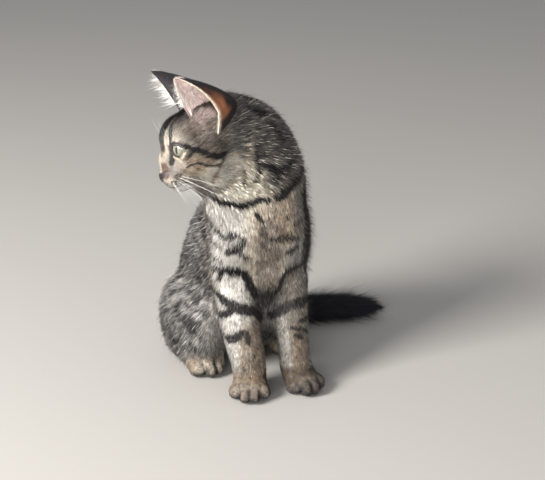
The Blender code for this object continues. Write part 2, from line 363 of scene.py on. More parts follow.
def outer_form():
    """All the solids but the ears, eyes included, fused into one closed smooth form."""
    form = bmesh.new()
    for name in BODY_NODES + EYES:
        form.from_mesh(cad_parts[name].data)
    bmesh.ops.remove_doubles(form, verts=form.verts, dist=1e-5)
    form.normal_update()
    for vertex in form.verts:
        vertex.co += vertex.normal * SWELL
    obj = linked("skin", bpy.data.meshes.new("skin"))
    form.to_mesh(obj.data)
    form.free()
    remesh(obj, FORM_VOXEL, smoothing=4)
    return obj


def face_share(head_points):
    """1 at the front of the head, 0 behind the cheeks and away from the head."""
    x, y, z = head_points.T
    away = np.sqrt((x / 3.0) ** 2 + ((y + 2.6) / 2.6) ** 2 + ((z + 0.6) / 3.0) ** 2)
    return ramp(1.25, 0.65, away)


def coat_depth(points, shares):
    """How far the coat's tips stand off the skin."""
    return mix(shares @ COAT_DEPTH, FACE_DEPTH, face_share(in_head(points)) * part_share(shares, "head"))


def sink(obj):
    """Moves the form's surface inwards by the depth of the coat."""
    skin = Skin(obj)
    shares = skin.even(parts_at(skin.points), 12)
    # Away from the head and the paws the form is also evened out.
    body = ramp(3.2, 5.2, np.linalg.norm(in_head(skin.points) + (0, 0.6, 0), axis=1))
    body = body * (1 - part_share(shares, "forepaw")) * (1 - part_share(shares, "hindpaw"))
    points = tint(skin.points, skin.even(skin.points, 22), body)
    normals = skin.even(normals_at(points, skin.triangles), 6)
    points -= unit(normals) * coat_depth(points, shares)[:, None]
    move_points(obj, points)
    remesh(obj, SKIN_VOXEL, smoothing=3)


def refine_face(obj):
    """Finer faces on the front of the head, finest round the eyes, nose and mouth."""
    form = bmesh.new()
    form.from_mesh(obj.data)
    for near in (0.05, 0.3):
        centres = np.array([face.calc_center_median() for face in form.faces])
        wanted = face_share(in_head(from_world(centres))) > near
        chosen = {edge for face, take in zip(form.faces, wanted) if take for edge in face.edges}
        bmesh.ops.subdivide_edges(form, edges=list(chosen), cuts=1, use_grid_fill=True)
    bmesh.ops.triangulate(form, faces=form.faces)
    form.to_mesh(obj.data)
    form.free()
    skin = Skin(obj)
    near = face_share(in_head(skin.points))
    move_points(obj, tint(skin.points, skin.even(skin.points, 6), ramp(0.0, 0.3, near)))


# ---------------------------------------------------------------- the eyes' openings


GAZE = (0.56, -0.82, 0.10)
OPENING_HALF_WIDTH, OPENING_TOP, OPENING_BOTTOM = 40.0, 26.0, 34.0  # degrees on the eyeball
OPENING_TILT = 2.0
LID, BEHIND_LIDS = 0.07, 0.10  # how far the lids stand off the eyeball, and the skin hidden in it lies inside
EYE_REACH = 1.0  # how far from the eyeball the skin is shaped by it
ON_EYE = EYE_RADIUS + 0.05  # no skin round an eye lies nearer its centre
SOCKET = 0.28  # how softly the skin round an eye swells over the eyeball
SOCKET_TURN = 44.0  # degrees from the gaze at which it leaves the eyeball


def on_side(s, place):
    """A place on the head's left as it is on the side s."""
    return Vector((s * place[0], place[1], place[2]))


def on_head(s, centre, x, y, z):
    """The frame with these axes at a centre on the side s of the head."""
    grid = Matrix((x, y, z)).transposed().to_4x4()
    grid.translation = on_side(s, centre)
    return HEAD @ grid


def eye_frame(s):
    """An eye's frame in the head: -Y is its gaze, +X its outer corner's side, +Z its top."""
    gaze = on_side(s, GAZE).normalized()
    outward = gaze.cross(Vector((0, 0, 1))).normalized() * -s
    top = Vector((0, 0, 1)) - gaze * gaze.z
    top.normalize()
    tilt = math.radians(OPENING_TILT)
    outer = outward * math.cos(tilt) + top * math.sin(tilt)
    raised = top * math.cos(tilt) - outward * math.sin(tilt)
    return on_head(s, EYE_CENTRE, outer, -gaze, raised)


def opening_edge(across):
    """The upper and lower edges of the lids' opening, in degrees, at a place across it from -1 to 1."""
    room = np.maximum(1 - across**2, 0)
    return OPENING_TOP * room**0.5 * (1 - 0.35 * across), -OPENING_BOTTOM * room**0.6 * (1 - 0.1 * across)


def round_eye(points, s):
    """Where points lie round an eye: sideways and upward angles in degrees, and the distance from its centre.

    Last, roughly how many degrees they lie outside the lids' opening; less than 0 is inside it.
    """
    local = moved(points, eye_frame(s).inverted())
    distance = np.linalg.norm(local, axis=1)
    sideways = np.degrees(np.arctan2(local[:, 0], -local[:, 1]))
    upward = np.degrees(np.arcsin(np.clip(local[:, 2] / np.maximum(distance, 1e-6), -1, 1)))
    top, bottom = opening_edge(np.clip(sideways / OPENING_HALF_WIDTH, -1.0, 1.0))
    over = np.where(upward > 0, upward - top, bottom - upward)
    beside = np.abs(sideways) - OPENING_HALF_WIDTH
    return sideways, upward, distance, np.maximum(over, beside)


def at_distance(points, s, chosen, wanted):
    """The chosen points moved straight out from an eye's centre, or in, to the distance wanted."""
    frame_here = eye_frame(s)
    local = moved(points, frame_here.inverted())
    local *= (wanted / np.maximum(np.linalg.norm(local, axis=1), 1e-6))[:, None]
    return np.where(chosen[:, None], moved(local, frame_here), points)


def open_eyes(points):
    """Lids that lie on the eyeballs, and the skin behind the openings drawn back out of sight."""
    for s in SIDES.values():
        sideways, upward, distance, outside = round_eye(points, s)
        # Beside and above the eye the skin runs on flat from the eyeball to the temple.
        from_gaze = np.degrees(np.arccos(np.cos(np.radians(sideways)) * np.cos(np.radians(upward))))
        flat = 1 / np.cos(np.radians(np.clip(from_gaze - SOCKET_TURN, 0, 40))) - 1
        over = distance - ON_EYE * (1 + flat * ramp(-30, 0, sideways))
        brow = distance + 0.5 * (np.sqrt(over**2 + SOCKET**2) - over)
        lids = mix(EYE_RADIUS + LID, brow, ramp(4, 30, outside))
        wanted = np.where(outside < 0, EYE_RADIUS - BEHIND_LIDS, lids)
        fade = np.where(outside < 0, 1.0, ramp(EYE_RADIUS + EYE_REACH, EYE_RADIUS + 0.55, distance))
        points = at_distance(points, s, distance < EYE_RADIUS + EYE_REACH, mix(distance, wanted, fade))
    return points


TEMPLE, TEMPLE_REACH, TEMPLE_ROUNDS = (2.4, -0.4, 1.45), (1.6, 2.0, 1.5), 100


def smooth_temples(skin):
    """Eases the skin from each eye into the temple and the root of the ear."""
    off = (mirrored(in_head(skin.points)) - TEMPLE) / TEMPLE_REACH
    share = ramp(1.2, 0.6, np.linalg.norm(off, axis=1))
    for s in SIDES.values():
        _, _, distance, outside = round_eye(skin.points, s)
        share = share * np.where(distance < EYE_RADIUS + 0.9, ramp(8, 30, outside), 1.0)
    points = tint(skin.points, skin.even(skin.points, TEMPLE_ROUNDS), share)
    for s in SIDES.values():
        _, _, distance, outside = round_eye(points, s)
        points = at_distance(points, s, (outside > 2) & (distance < ON_EYE), ON_EYE)
    return points


# ---------------------------------------------------------------- nose, mouth and toes


def along(points, path, normals=None):
    """For each point, the distance to a path and how far along it the nearest place is, from 0 to 1.

    With normals, distance is measured along the surface: most of what lies across it is left out.
    """
    samples = curve_through(path, 0.04)
    best = np.full(len(points), 1e9)
    place_on = np.zeros(len(points))
    for index, sample in enumerate(samples):
        offset = points - sample
        if normals is not None:
            offset -= 0.9 * normals * np.sum(offset * normals, axis=1)[:, None]
        away = np.linalg.norm(offset, axis=1)
        closer = away < best
        best[closer] = away[closer]
        place_on[closer] = index / max(1, len(samples) - 1)
    return best, place_on


NOSTRIL, NOSTRIL_SIZE = (0.29, -4.16, -1.6), (0.13, 0.3, 0.10)
PHILTRUM = [(0.0, -4.2, -1.85), (0.0, -4.0, -2.15), (0.0, -3.85, -2.35)]
MOUTH = [(0.0, -3.85, -2.35), (0.45, -3.75, -2.56), (0.95, -3.3, -2.62), (1.4, -2.5, -2.55)]


def nose_share(head):
    """1 on the nose leather, 0 off it."""
    x, y, z = head.T
    width = 0.62 + 0.26 * np.clip((z + 1.5) / 0.4, -1, 1)
    sides = ramp(1.12, 0.88, np.abs(x) / np.maximum(width, 0.12))
    return sides * ramp(-2.0, -1.86, z) * ramp(-1.02, -1.16, z) * ramp(-3.3, -3.5, y)


def shape_nose_and_mouth(points, normals):
    """The raised leather of the nose, its nostrils, and the grooves of the lips."""
    head = mirrored(in_head(points))
    push = 0.05 * nose_share(head)
    push -= 0.17 * ramp(1.25, 0.5, np.linalg.norm((head - NOSTRIL) / NOSTRIL_SIZE, axis=1))
    for path, depth, half_width, floor in ((PHILTRUM, 0.05, 0.09, 0.02), (MOUTH, 0.09, 0.10, 0.03)):
        push -= depth * ramp(half_width, floor, along(head, path)[0])
    return points + normals * push[:, None]


PAWS = [*FOREPAWS.values(), *HINDPAWS.values()]
PAW_HALF_WIDTH = 1.85
TOE_CLEFTS = (-0.5, 0.0, 0.5)  # across the paw, as shares of half its width


def from_clefts(local):
    """For points in a paw's frame, the distance across it from each cleft, as shares of half its width."""
    across = local[:, 0] / PAW_HALF_WIDTH
    return [np.abs(across - cleft * (1 + 0.06 * (local[:, 1] + 1.5))) for cleft in TOE_CLEFTS]


def shape_toes(points, normals):
    """Clefts between the toes of each paw."""
    for matrix in PAWS:
        local = moved(points, matrix.inverted())
        front = ramp(-0.8, -1.5, local[:, 1]) * ramp(-3.4, -3.0, local[:, 1]) * ramp(2.2, 1.8, local[:, 2])
        on_paw = np.abs(local[:, 0] / PAW_HALF_WIDTH) < 1.2
        for away in from_clefts(local):
            points = points - normals * (0.15 * ramp(0.09, 0.015, away) * front * on_paw)[:, None]
    return points


# ---------------------------------------------------------------- ears


EAR_SKIN = 0.05  # half the thickness of the ear's skin
EAR_STEP = 1e-3  # the step in which slopes on the ear are taken


def ear_frame(s):
    """The ear's own frame in the head: Z towards its tip, -Y out of its opening."""
    up = on_side(s, EAR_POINTS).normalized()
    back = -on_side(s, EAR_OPENS)
    across = back.cross(up).normalized()
    return on_head(s, EAR_ROOT, across, up.cross(across), up)


def ear_point(up, turn):
    """A point of the ear's leaf: up from 0 at the root to 1 at the tip, turn from -1 to 1 round it."""
    up = np.asarray(up, float)
    rest = np.maximum(1 - up, 0)
    half_width = EAR_HALF_WIDTH * rest**0.66 * (1 + 0.75 * up) * np.minimum(1.0, 0.72 + up) + 0.12
    depth = EAR_DEPTH * rest**0.9 * (1 + 0.25 * up) + 0.02
    around = np.radians(105 - 30 * up) * turn
    lean = EAR_LEAN * np.maximum(up, 0) ** 1.3
    return np.stack((half_width * np.sin(around), depth * np.cos(around) - lean, EAR_HEIGHT * up), axis=-1)


def ear_slopes(up, turn):
    """How far a place on the leaf moves in a small step up it and in one round it."""
    along_up = ear_point(up + EAR_STEP, turn) - ear_point(up - EAR_STEP, turn)
    return along_up, ear_point(up, turn + EAR_STEP) - ear_point(up, turn - EAR_STEP)


def ear_sheet(s):
    """Points, outward normals and (up, turn) on the ear's middle surface, as a grid."""
    rows, columns = np.linspace(-0.10, 0.985, 44), np.linspace(-1, 1, 36)
    up, turn = np.meshgrid(rows, columns, indexing="ij")
    along_up, round_it = ear_slopes(up, turn)
    matrix = ear_frame(s)
    normals = turned(unit(np.cross(along_up, round_it)), matrix)
    return moved(ear_point(up, turn), matrix), normals, up, turn


def ear_skin(s):
    """The ear's closed thin shell: its points, quads, (up, turn) and which side each point is on."""
    points, normals, up, turn = ear_sheet(s)
    rows, columns = up.shape
    thin = EAR_SKIN * ramp(1.06, 0.85, np.abs(turn)) * ramp(1.05, 0.9, up) + 0.012
    back = points + normals * thin[..., None]
    front = points - normals * thin[..., None]
    grid = np.arange(rows * columns).reshape(rows, columns)
    a, b, c, d = grid[:-1, :-1], grid[:-1, 1:], grid[1:, 1:], grid[1:, :-1]
    sheet = np.stack((a, b, c, d), axis=-1).reshape(-1, 4)
    count = rows * columns
    rim = np.concatenate((grid[:, 0], grid[-1, 1:], grid[-2::-1, -1], grid[0, -2::-1]))
    wall = np.stack((rim[:-1], rim[1:], rim[1:] + count, rim[:-1] + count), axis=-1)
    quads = np.vstack((sheet, sheet[:, ::-1] + count, wall[:, ::-1]))
    shape = [np.stack((up, turn, np.full(up.shape, facing)), -1).reshape(-1, 3) for facing in (1.0, -1.0)]
    return np.vstack((back.reshape(-1, 3), front.reshape(-1, 3))), quads, np.vstack(shape)


# ---------------------------------------------------------------- markings


CHARCOAL = np.array((0.009, 0.0085, 0.0105))
SMOKE = np.array((0.050, 0.047, 0.049))
BROWN = np.array((0.085, 0.045, 0.028))
RUST = np.array((0.33, 0.130, 0.065))
TICKED = np.array((0.235, 0.210, 0.185))
PALE_GREY = np.array((0.46, 0.44, 0.42))
TAN = np.array((0.42, 0.295, 0.19))
OCHRE = np.array((0.46, 0.345, 0.23))
CREAM = np.array((0.70, 0.60, 0.48))
PEACH = np.array((0.46, 0.36, 0.285))
WHITE = np.array((0.85, 0.81, 0.75))
LEATHER = np.array((0.014, 0.011, 0.012))
TAIL_COLOUR = np.array((0.011, 0.011, 0.016))
PINK = np.array((0.46, 0.29, 0.29))

# Soft patches of ground colour, in turn: centre, half sizes, colour, how strong. On the body.
BODY_PATCHES = [
    ((-0.9, 12.0, 14.0), (6.5, 7.0, 14.0), SMOKE * 2.4, 0.9),  # back
    ((-7.3, 7.5, 5.0), (4.0, 6.0, 5.5), PALE_GREY * 0.52, 0.85),  # right thigh
    ((-6.6, 6.3, 2.8), (2.6, 2.4, 2.2), PALE_GREY * 1.05, 0.7),  # its lower front
    ((4.0, 9.5, 5.0), (4.0, 6.0, 6.0), PALE_GREY * 0.6, 0.7),  # left thigh
    ((-5.2, 8.8, 11.5), (1.2, 2.0, 3.0), PALE_GREY * 0.65, 0.7),  # right flank
    ((-1.3, 0.6, 14.2), (4.4, 4.0, 6.8), CREAM * 0.9, 0.95),  # chest
    ((-4.1, 2.6, 14.5), (2.2, 2.8, 7.5), WHITE, 0.85),  # its right side
    ((1.4, 1.2, 15.6), (2.0, 2.2, 2.6), OCHRE * 0.98, 0.8),
    ((2.6, 2.0, 15.2), (1.1, 1.6, 2.2), TICKED * 0.85, 0.9),
    ((-0.6, 0.2, 12.2), (1.6, 2.6, 4.8), PEACH * 0.85, 0.85),  # middle of the chest
    ((2.2, 1.8, 12.0), (1.7, 2.0, 1.8), PALE_GREY * 0.95, 0.8),
    ((-0.6, 3.6, 8.3), (1.6, 2.2, 2.6), SMOKE * 1.0, 0.95),  # between the legs
    ((-0.6, 6.0, 4.0), (2.6, 3.0, 4.5), SMOKE * 1.6, 0.9),  # belly
    ((-3.6, 1.5, 6.5), (2.6, 2.6, 5.6), WHITE * 0.86, 0.95),  # right foreleg
    ((-2.5, 0.6, 4.2), (1.2, 1.6, 3.8), OCHRE * 0.88, 0.8),
    ((-1.5, 1.4, 4.0), (0.8, 2.4, 3.8), TAN * 0.75, 0.85),
    ((2.2, 1.0, 6.0), (2.0, 2.6, 5.6), CREAM * 0.48, 0.9),  # left foreleg
    ((1.9, 0.6, 3.6), (1.2, 1.6, 3.4), TAN * 0.68, 0.85),
    ((0.8, 1.6, 4.0), (0.6, 2.4, 4.0), WHITE * 0.58, 0.75),
]
# The same on the neck, over its mottling.
NECK_PATCHES = [
    ((-2.9, 1.6, 18.7), (2.35, 2.4, 1.95), (0.92, 0.82, 0.66), 0.97),  # throat
    ((-2.0, 1.75, 21.3), (0.42, 0.8, 1.4), CREAM * 0.85, 0.9),  # behind the cheek
]
# The same on the head, in its own frame, on both sides.
HEAD_PATCHES = [
    ((0.0, 0.3, 2.6), (1.5, 3.4, 2.0), SMOKE * 0.7, 0.95),  # crown
    ((2.3, -0.9, 1.2), (1.8, 2.9, 1.6), (0.56, 0.485, 0.415), 0.95),  # temple
    ((2.2, 0.9, 2.25), (1.1, 1.5, 0.9), (0.66, 0.54, 0.51), 0.9),  # inside the root of the ear
    ((0.5, -1.7, 2.6), (0.7, 1.3, 1.0), SMOKE * 0.3, 0.95),  # forehead
    ((2.7, 1.2, -0.1), (1.0, 1.3, 0.9), OCHRE * 0.62, 0.7),
    ((2.6, -0.9, -1.2), (1.8, 2.2, 1.3), OCHRE * 1.12, 0.95),  # cheek
    ((2.3, 0.7, -2.8), (2.2, 2.6, 1.5), (0.92, 0.82, 0.68), 0.97),  # under the cheek
    ((2.2, -2.4, -1.0), (0.9, 0.8, 0.6), TICKED * 1.25, 0.6),  # side of the muzzle
    ((0.0, -3.0, 0.0), (1.0, 1.9, 1.8), CREAM * 0.50, 0.95),  # nose bridge
    ((1.2, -3.0, -2.05), (1.1, 1.3, 0.6), CREAM * 0.70, 0.95),  # whisker pad
    ((0.0, -3.0, -3.05), (1.8, 1.9, 0.75), WHITE * 1.05, 1.0),  # chin
    ((0.75, -3.6, -2.45), (0.9, 0.8, 0.3), WHITE * 0.7, 0.8),  # lip
]
# Strokes of dark fur: points along it, half width, how dark. On the body.
BODY_STROKES = [
    # Necklace, in two lengths, and a slanting stroke under it.
    ([(-5.6, 3.6, 17.6), (-5.0, 2.7, 17.2), (-4.5, 2.3, 17.0), (-3.6, 1.9, 16.9), (-2.6, 1.7, 16.8),
      (-1.3, 1.5, 17.3), (-0.5, 1.4, 17.2)], 0.18, 1.0),
    ([(0.2, 1.5, 17.3), (1.2, 1.9, 17.6), (1.9, 2.1, 18.0), (2.5, 2.6, 18.4), (3.2, 3.4, 18.8)], 0.28, 1.0),
    ([(-1.8, 1.3, 16.3), (-1.5, 1.1, 15.9), (-1.1, 0.9, 15.3)], 0.14, 0.9),
    # Bars on the right of the chest.
    ([(-4.7, 3.4, 14.1), (-4.2, 2.7, 13.8), (-3.7, 2.1, 14.2), (-3.2, 1.6, 14.2)], 0.23, 0.66),
    ([(-3.9, 2.3, 13.5), (-3.6, 2.0, 13.5)], 0.16, 0.59),
    ([(-4.6, 3.5, 12.9), (-4.4, 3.0, 12.8)], 0.18, 0.56),
    ([(-4.0, 2.5, 12.5), (-3.4, 1.9, 12.9), (-3.1, 1.6, 13.3), (-2.8, 1.4, 13.9)], 0.29, 0.74),
    ([(-3.1, 1.8, 12.5), (-2.7, 1.6, 12.3), (-2.2, 1.4, 12.2)], 0.18, 0.62),
    ([(-4.6, 3.6, 11.6), (-4.3, 3.2, 11.4)], 0.22, 0.56),
    # The same bars where they come round from the shoulder.
    ([(-5.3, 5.6, 15.2), (-5.1, 4.6, 14.5), (-4.7, 3.4, 14.1)], 0.20, 0.64),
    ([(-5.3, 5.8, 13.8), (-5.1, 4.8, 13.2), (-4.6, 3.5, 12.9)], 0.20, 0.60),
    ([(-5.4, 6.0, 12.4), (-5.2, 5.0, 11.8), (-4.6, 3.6, 11.6)], 0.20, 0.60),
    ([(-5.3, 5.6, 11.6), (-5.0, 4.6, 11.0), (-4.5, 3.3, 10.8)], 0.22, 0.64),
    ([(-5.2, 5.2, 9.6), (-5.0, 4.4, 9.0), (-4.7, 3.3, 8.8)], 0.22, 0.68),
    ([(-4.9, 4.6, 7.6), (-4.8, 4.0, 7.1), (-4.6, 3.2, 6.9)], 0.20, 0.64),
    ([(-4.5, 3.8, 5.6), (-4.5, 3.0, 5.2), (-4.2, 2.3, 5.1)], 0.18, 0.64),
    # Bars on its left.
    ([(0.9, 1.0, 16.0), (1.3, 1.2, 15.4)], 0.12, 0.55),
    ([(2.9, 2.2, 15.2), (2.2, 1.7, 14.8), (1.7, 1.3, 14.9)], 0.14, 0.60),
    ([(-1.2, 0.9, 14.8), (-1.0, 0.8, 14.3)], 0.26, 0.56),
    ([(-1.2, 0.9, 13.5), (-0.9, 0.9, 13.1)], 0.23, 0.56),
    ([(-0.4, 0.8, 13.9), (0.1, 0.8, 13.9), (0.7, 0.9, 14.0), (1.4, 1.1, 13.7),
      (2.3, 1.6, 13.4)], 0.23, 0.69),
    ([(1.0, 1.2, 12.4), (1.7, 1.4, 12.6), (2.1, 1.6, 12.7)], 0.26, 0.69),
    ([(0.2, 1.1, 12.1)], 0.18, 0.59),
    # Right shoulder and foreleg, from the top down.
    ([(-4.5, 3.3, 10.8), (-3.8, 2.8, 10.8), (-3.2, 2.5, 10.8), (-2.6, 2.2, 10.6), (-2.3, 2.1, 10.1),
      (-1.8, 2.2, 9.2), (-1.4, 2.5, 8.4)], 0.27, 0.88),
    ([(-4.7, 3.4, 10.0), (-4.4, 3.1, 10.2)], 0.24, 0.79),
    ([(-4.7, 3.3, 8.8), (-4.3, 2.6, 8.4), (-3.7, 2.1, 8.1), (-3.0, 1.9, 7.8), (-2.2, 1.9, 7.6),
      (-1.3, 2.5, 7.0), (-0.8, 3.1, 6.2)], 0.34, 0.88),
    ([(-4.6, 3.2, 6.9), (-4.4, 2.7, 7.1), (-3.8, 2.0, 7.5)], 0.27, 0.84),
    ([(-3.9, 2.0, 6.6), (-3.3, 1.6, 6.6)], 0.14, 0.45),
    ([(-4.2, 2.3, 5.1), (-3.6, 1.5, 5.3), (-3.0, 1.3, 5.9)], 0.28, 0.88),
    ([(-2.5, 1.2, 5.8), (-2.5, 1.0, 4.9)], 0.22, 0.79),
    ([(-2.0, 0.7, 3.8)], 0.14, 0.62),
    ([(-2.1, 0.6, 2.7)], 0.14, 0.55),
    # Left shoulder and foreleg.
    ([(0.4, 2.2, 8.6), (0.7, 1.6, 9.6), (1.0, 1.5, 10.5), (1.7, 1.8, 10.6), (2.5, 2.4, 10.7),
      (3.1, 3.0, 10.9)], 0.23, 0.84),
    ([(3.8, 4.4, 18.0), (3.6, 3.5, 16.4), (3.4, 3.0, 14.5), (3.4, 3.0, 12.4), (3.6, 3.3, 10.5),
      (3.7, 3.3, 8.8), (3.7, 3.3, 7.6)], 0.62, 0.79),
    ([(0.2, 3.2, 6.3), (0.7, 2.3, 7.0), (1.4, 1.9, 7.5), (2.2, 1.9, 7.6), (3.3, 2.6, 7.7),
      (3.7, 3.4, 7.8)], 0.35, 0.88),
    ([(2.3, 1.5, 6.1), (3.0, 1.9, 6.1), (3.4, 2.6, 6.2)], 0.18, 0.75),
    ([(1.3, 1.5, 5.6), (1.9, 1.4, 5.5), (2.5, 1.4, 5.4), (3.1, 1.7, 5.0)], 0.14, 0.79),
    ([(1.8, 1.2, 5.0), (2.3, 1.2, 4.7)], 0.22, 0.84),
    ([(1.2, 1.3, 4.3), (1.7, 1.1, 4.2)], 0.10, 0.55),
    # Broken rows on the right thigh.
    ([(-5.4, 8.7, 8.9), (-5.0, 7.9, 8.5)], 0.25, 0.62),
    ([(-6.3, 9.0, 7.7), (-5.8, 7.8, 7.5), (-5.3, 6.9, 7.0)], 0.22, 0.62),
    ([(-5.0, 7.0, 7.3), (-4.4, 7.2, 7.7)], 0.20, 0.62),
    ([(-7.7, 9.7, 5.2), (-7.2, 8.1, 5.5)], 0.18, 0.62),
    ([(-7.1, 7.6, 5.0), (-6.4, 6.5, 4.8), (-5.5, 5.6, 5.4)], 0.22, 0.62),
    ([(-6.5, 7.4, 6.3), (-6.0, 6.8, 6.4)], 0.14, 0.62),
    ([(-7.6, 9.0, 2.8), (-7.1, 8.0, 2.5)], 0.18, 0.62),
    # Side of the neck and nape.
    ([(-2.4, 5.4, 25.7), (-1.3, 4.7, 25.3), (-0.4, 4.9, 25.0)], 0.32, 0.90),
    ([(-1.4, 3.0, 24.7), (-0.6, 2.9, 24.3), (-0.1, 3.3, 24.3)], 0.23, 1.00),
    ([(0.1, 2.6, 23.5), (0.5, 2.5, 22.9), (1.2, 2.5, 22.0)], 0.20, 0.80),
    ([(-1.9, 1.8, 23.1), (-2.0, 1.8, 22.8)], 0.15, 0.90),
    ([(-2.0, 1.8, 22.6), (-2.3, 1.7, 21.3), (-2.5, 2.1, 20.4), (-2.3, 2.3, 19.3),
      (-2.3, 2.1, 18.3)], 0.08, 0.80),
    ([(-1.3, 1.7, 22.3), (-1.3, 1.7, 20.9), (-1.3, 1.8, 19.4), (-1.5, 2.0, 18.7)], 0.20, 0.72),
    ([(-0.7, 1.7, 20.1), (0.5, 1.7, 19.5), (1.6, 2.1, 19.8), (2.2, 2.6, 20.2)], 0.23, 0.85),
    ([(0.0, 1.7, 18.7), (1.2, 1.9, 19.2)], 0.15, 0.80),
]
# Two rows of dots on the whisker pad.
PAD_DOTS = [(1.3, -3.5, -2.0), (1.36, -3.18, -2.1), (1.35, -2.86, -2.16), (1.35, -2.54, -2.2)]
PAD_DOTS += [(1.22, -3.42, -2.3), (1.26, -3.1, -2.36), (1.25, -2.78, -2.42)]
# On the head, in its own frame, both sides alike.
HEAD_STROKES = [
    # From the outer corner of the eye over the cheek, and the thinner one below it.
    ([(2.35, -1.9, 0.82), (2.45, -1.75, 0.72), (2.68, -1.3, 0.33), (2.9, -0.82, -0.07)], 0.12, 1.0),
    ([(2.75, -1.1, 0.12), (2.9, -0.82, -0.07), (3.18, -0.43, -0.43), (3.26, -0.17, -0.81),
      (3.31, 0.14, -1.08), (3.21, 0.59, -1.34), (2.99, 1.19, -1.3)], 0.17, 1.0),
    ([(2.49, -2.15, -1.13), (2.79, -1.66, -1.06), (3.01, -1.22, -1.14), (3.11, -0.79, -1.5),
      (3.14, -0.38, -1.78), (3.07, 0.09, -1.96), (2.82, 0.63, -2.12)], 0.075, 0.8),
    ([(3.04, 0.96, -1.62), (2.88, 0.65, -2.03)], 0.10, 0.7),
    ([(2.62, -1.25, 0.1), (2.5, -1.7, -0.3), (2.33, -2.05, -0.5)], 0.11, 0.65),
    # From the brow past the inner corner of the eye, down beside the nose.
    ([(0.54, -1.31, 2.72), (1.1, -1.75, 2.35), (1.38, -2.01, 1.99), (1.62, -2.35, 1.25),
      (1.4, -2.5, 0.6)], 0.11, 1.0),
    ([(1.4, -2.5, 0.7), (1.2, -2.55, 0.3), (1.0, -2.63, -0.12), (0.86, -2.9, -0.6)], 0.16, 1.0),
    # Two stripes up the forehead, and a short one on the bridge of the nose.
    ([(0.25, -0.3, 3.1), (0.25, -1.6, 2.75), (0.28, -2.4, 2.1), (0.34, -2.9, 1.3),
      (0.4, -3.05, 0.8)], 0.34, 1.0),
    ([(0.36, -3.15, 0.5), (0.34, -3.3, 0.1)], 0.07, 0.6),
    # Above the whisker pad, its dots, the line of the mouth, and dots on the cheek.
    ([(1.40, -3.05, -1.68), (1.42, -2.7, -1.76)], 0.17, 0.62),
    *[([dot], 0.12, 1.0) for dot in PAD_DOTS],
    (MOUTH, 0.05, 0.75),
    ([(2.85, -1.38, -1.61)], 0.09, 0.8),
    ([(2.84, -0.96, -2.08)], 0.08, 0.7),
]
# Beside the nose, under the cheek, and pale fur between the dark strokes over the eye.
BROWN_STROKES = [([(0.45, -3.5, -0.6), (0.62, -3.6, -0.95), (0.78, -3.7, -1.35)], 0.29, 0.9)]
RUST_STROKES = [
    ([(2.9, 0.45, -2.15), (2.64, 0.25, -2.5), (2.0, -0.09, -2.88), (1.77, -0.58, -3.31)], 0.12, 0.85),
]
PALE_STROKES = [
    ([(0.7, -1.0, 2.85), (0.85, -1.6, 2.55), (0.93, -2.17, 2.19)], 0.06, 0.8),
    ([(0.95, -2.3, 1.95), (1.0, -2.66, 1.3), (0.85, -2.9, 0.4), (0.6, -3.15, -0.3)], 0.14, 1.0),
    ([(1.5, -1.75, 2.15), (1.8, -2.15, 1.45)], 0.08, 0.7),
]


BODY_SPREAD, HEAD_SPREAD = 1.45, 1.65  # how much wider dark strokes are laid than they come out in the coat
PALE_SPREAD, COLOUR_SPREAD = 1.2, 1.3  # the same for pale, brown and rusty strokes
FLANK_PERIOD, NAPE_PERIOD = 1.0, 1.55  # from one dark band to the next


def stroke_share(points, normals, strokes, ragged, spread):
    """How strongly each point is marked by the strokes, from 0 to 1, with ragged edges."""
    total = np.zeros(len(points))
    for path, half_width, dark in strokes:
        half_width = half_width * spread
        path = np.asarray(path, float)
        reach = 2 * half_width + 0.4
        low, high = path.min(0) - reach, path.max(0) + reach
        inside = np.flatnonzero(((points > low) & (points < high)).all(axis=1))
        if not len(inside):
            continue
        away, place_on = along(points[inside], path, normals[inside])
        taper = 0.55 + 0.45 * np.sin(np.pi * np.clip(place_on, 0.06, 0.94)) ** 0.5
        share = ramp(1.5, 0.6, away / (half_width * taper) + ragged[inside]) * dark
        total[inside] = np.maximum(total[inside], share)
    return total


def patched(points, colours, patches):
    """Colours with soft-edged patches laid over them in turn."""
    for centre, half, colour, strong in patches:
        away = np.linalg.norm((points - centre) / half, axis=1)
        colours = tint(colours, colour, strong * ramp(1.15, 0.55, away))
    return colours


def body_markings(points, normals):
    """The ground colour of the body and the share of dark stripe, for points on it."""
    broad, fine = noise(points, 1.6, 3), noise(points, 0.36, 4)
    ragged = 0.22 * fine + 0.12 * noise(points, 0.18, 8)
    ground = patched(points, np.tile(TICKED, (len(points), 1)), BODY_PATCHES)
    x, y, z = points.T
    # Mackerel stripes over the flanks and thighs: slanting bands that waver and break.
    hips = moved(points, HIPS.inverted())
    slope = z * 0.80 - hips[:, 1] * 0.62 + 1.1 * broad
    band = np.sin(2 * np.pi * slope / FLANK_PERIOD)
    side = ramp(1.4, 2.8, np.abs(hips[:, 0])) * ramp(4.4, 6.0, y) * ramp(1.2, 2.4, z) * ramp(19, 15, z)
    flank = ramp(-0.1, 0.6, band + 0.9 * fine) * side * 0.75
    # A dark, wavering line down the back.
    back = ramp(1.2, 0.3, np.abs(x + 0.7 + 0.7 * broad) + 0.3 * fine) * ramp(8.0, 10.0, y)
    strokes = stroke_share(points, normals, BODY_STROKES, ragged, BODY_SPREAD)
    return ground, np.maximum.reduce((flank, 0.7 * back, strokes))


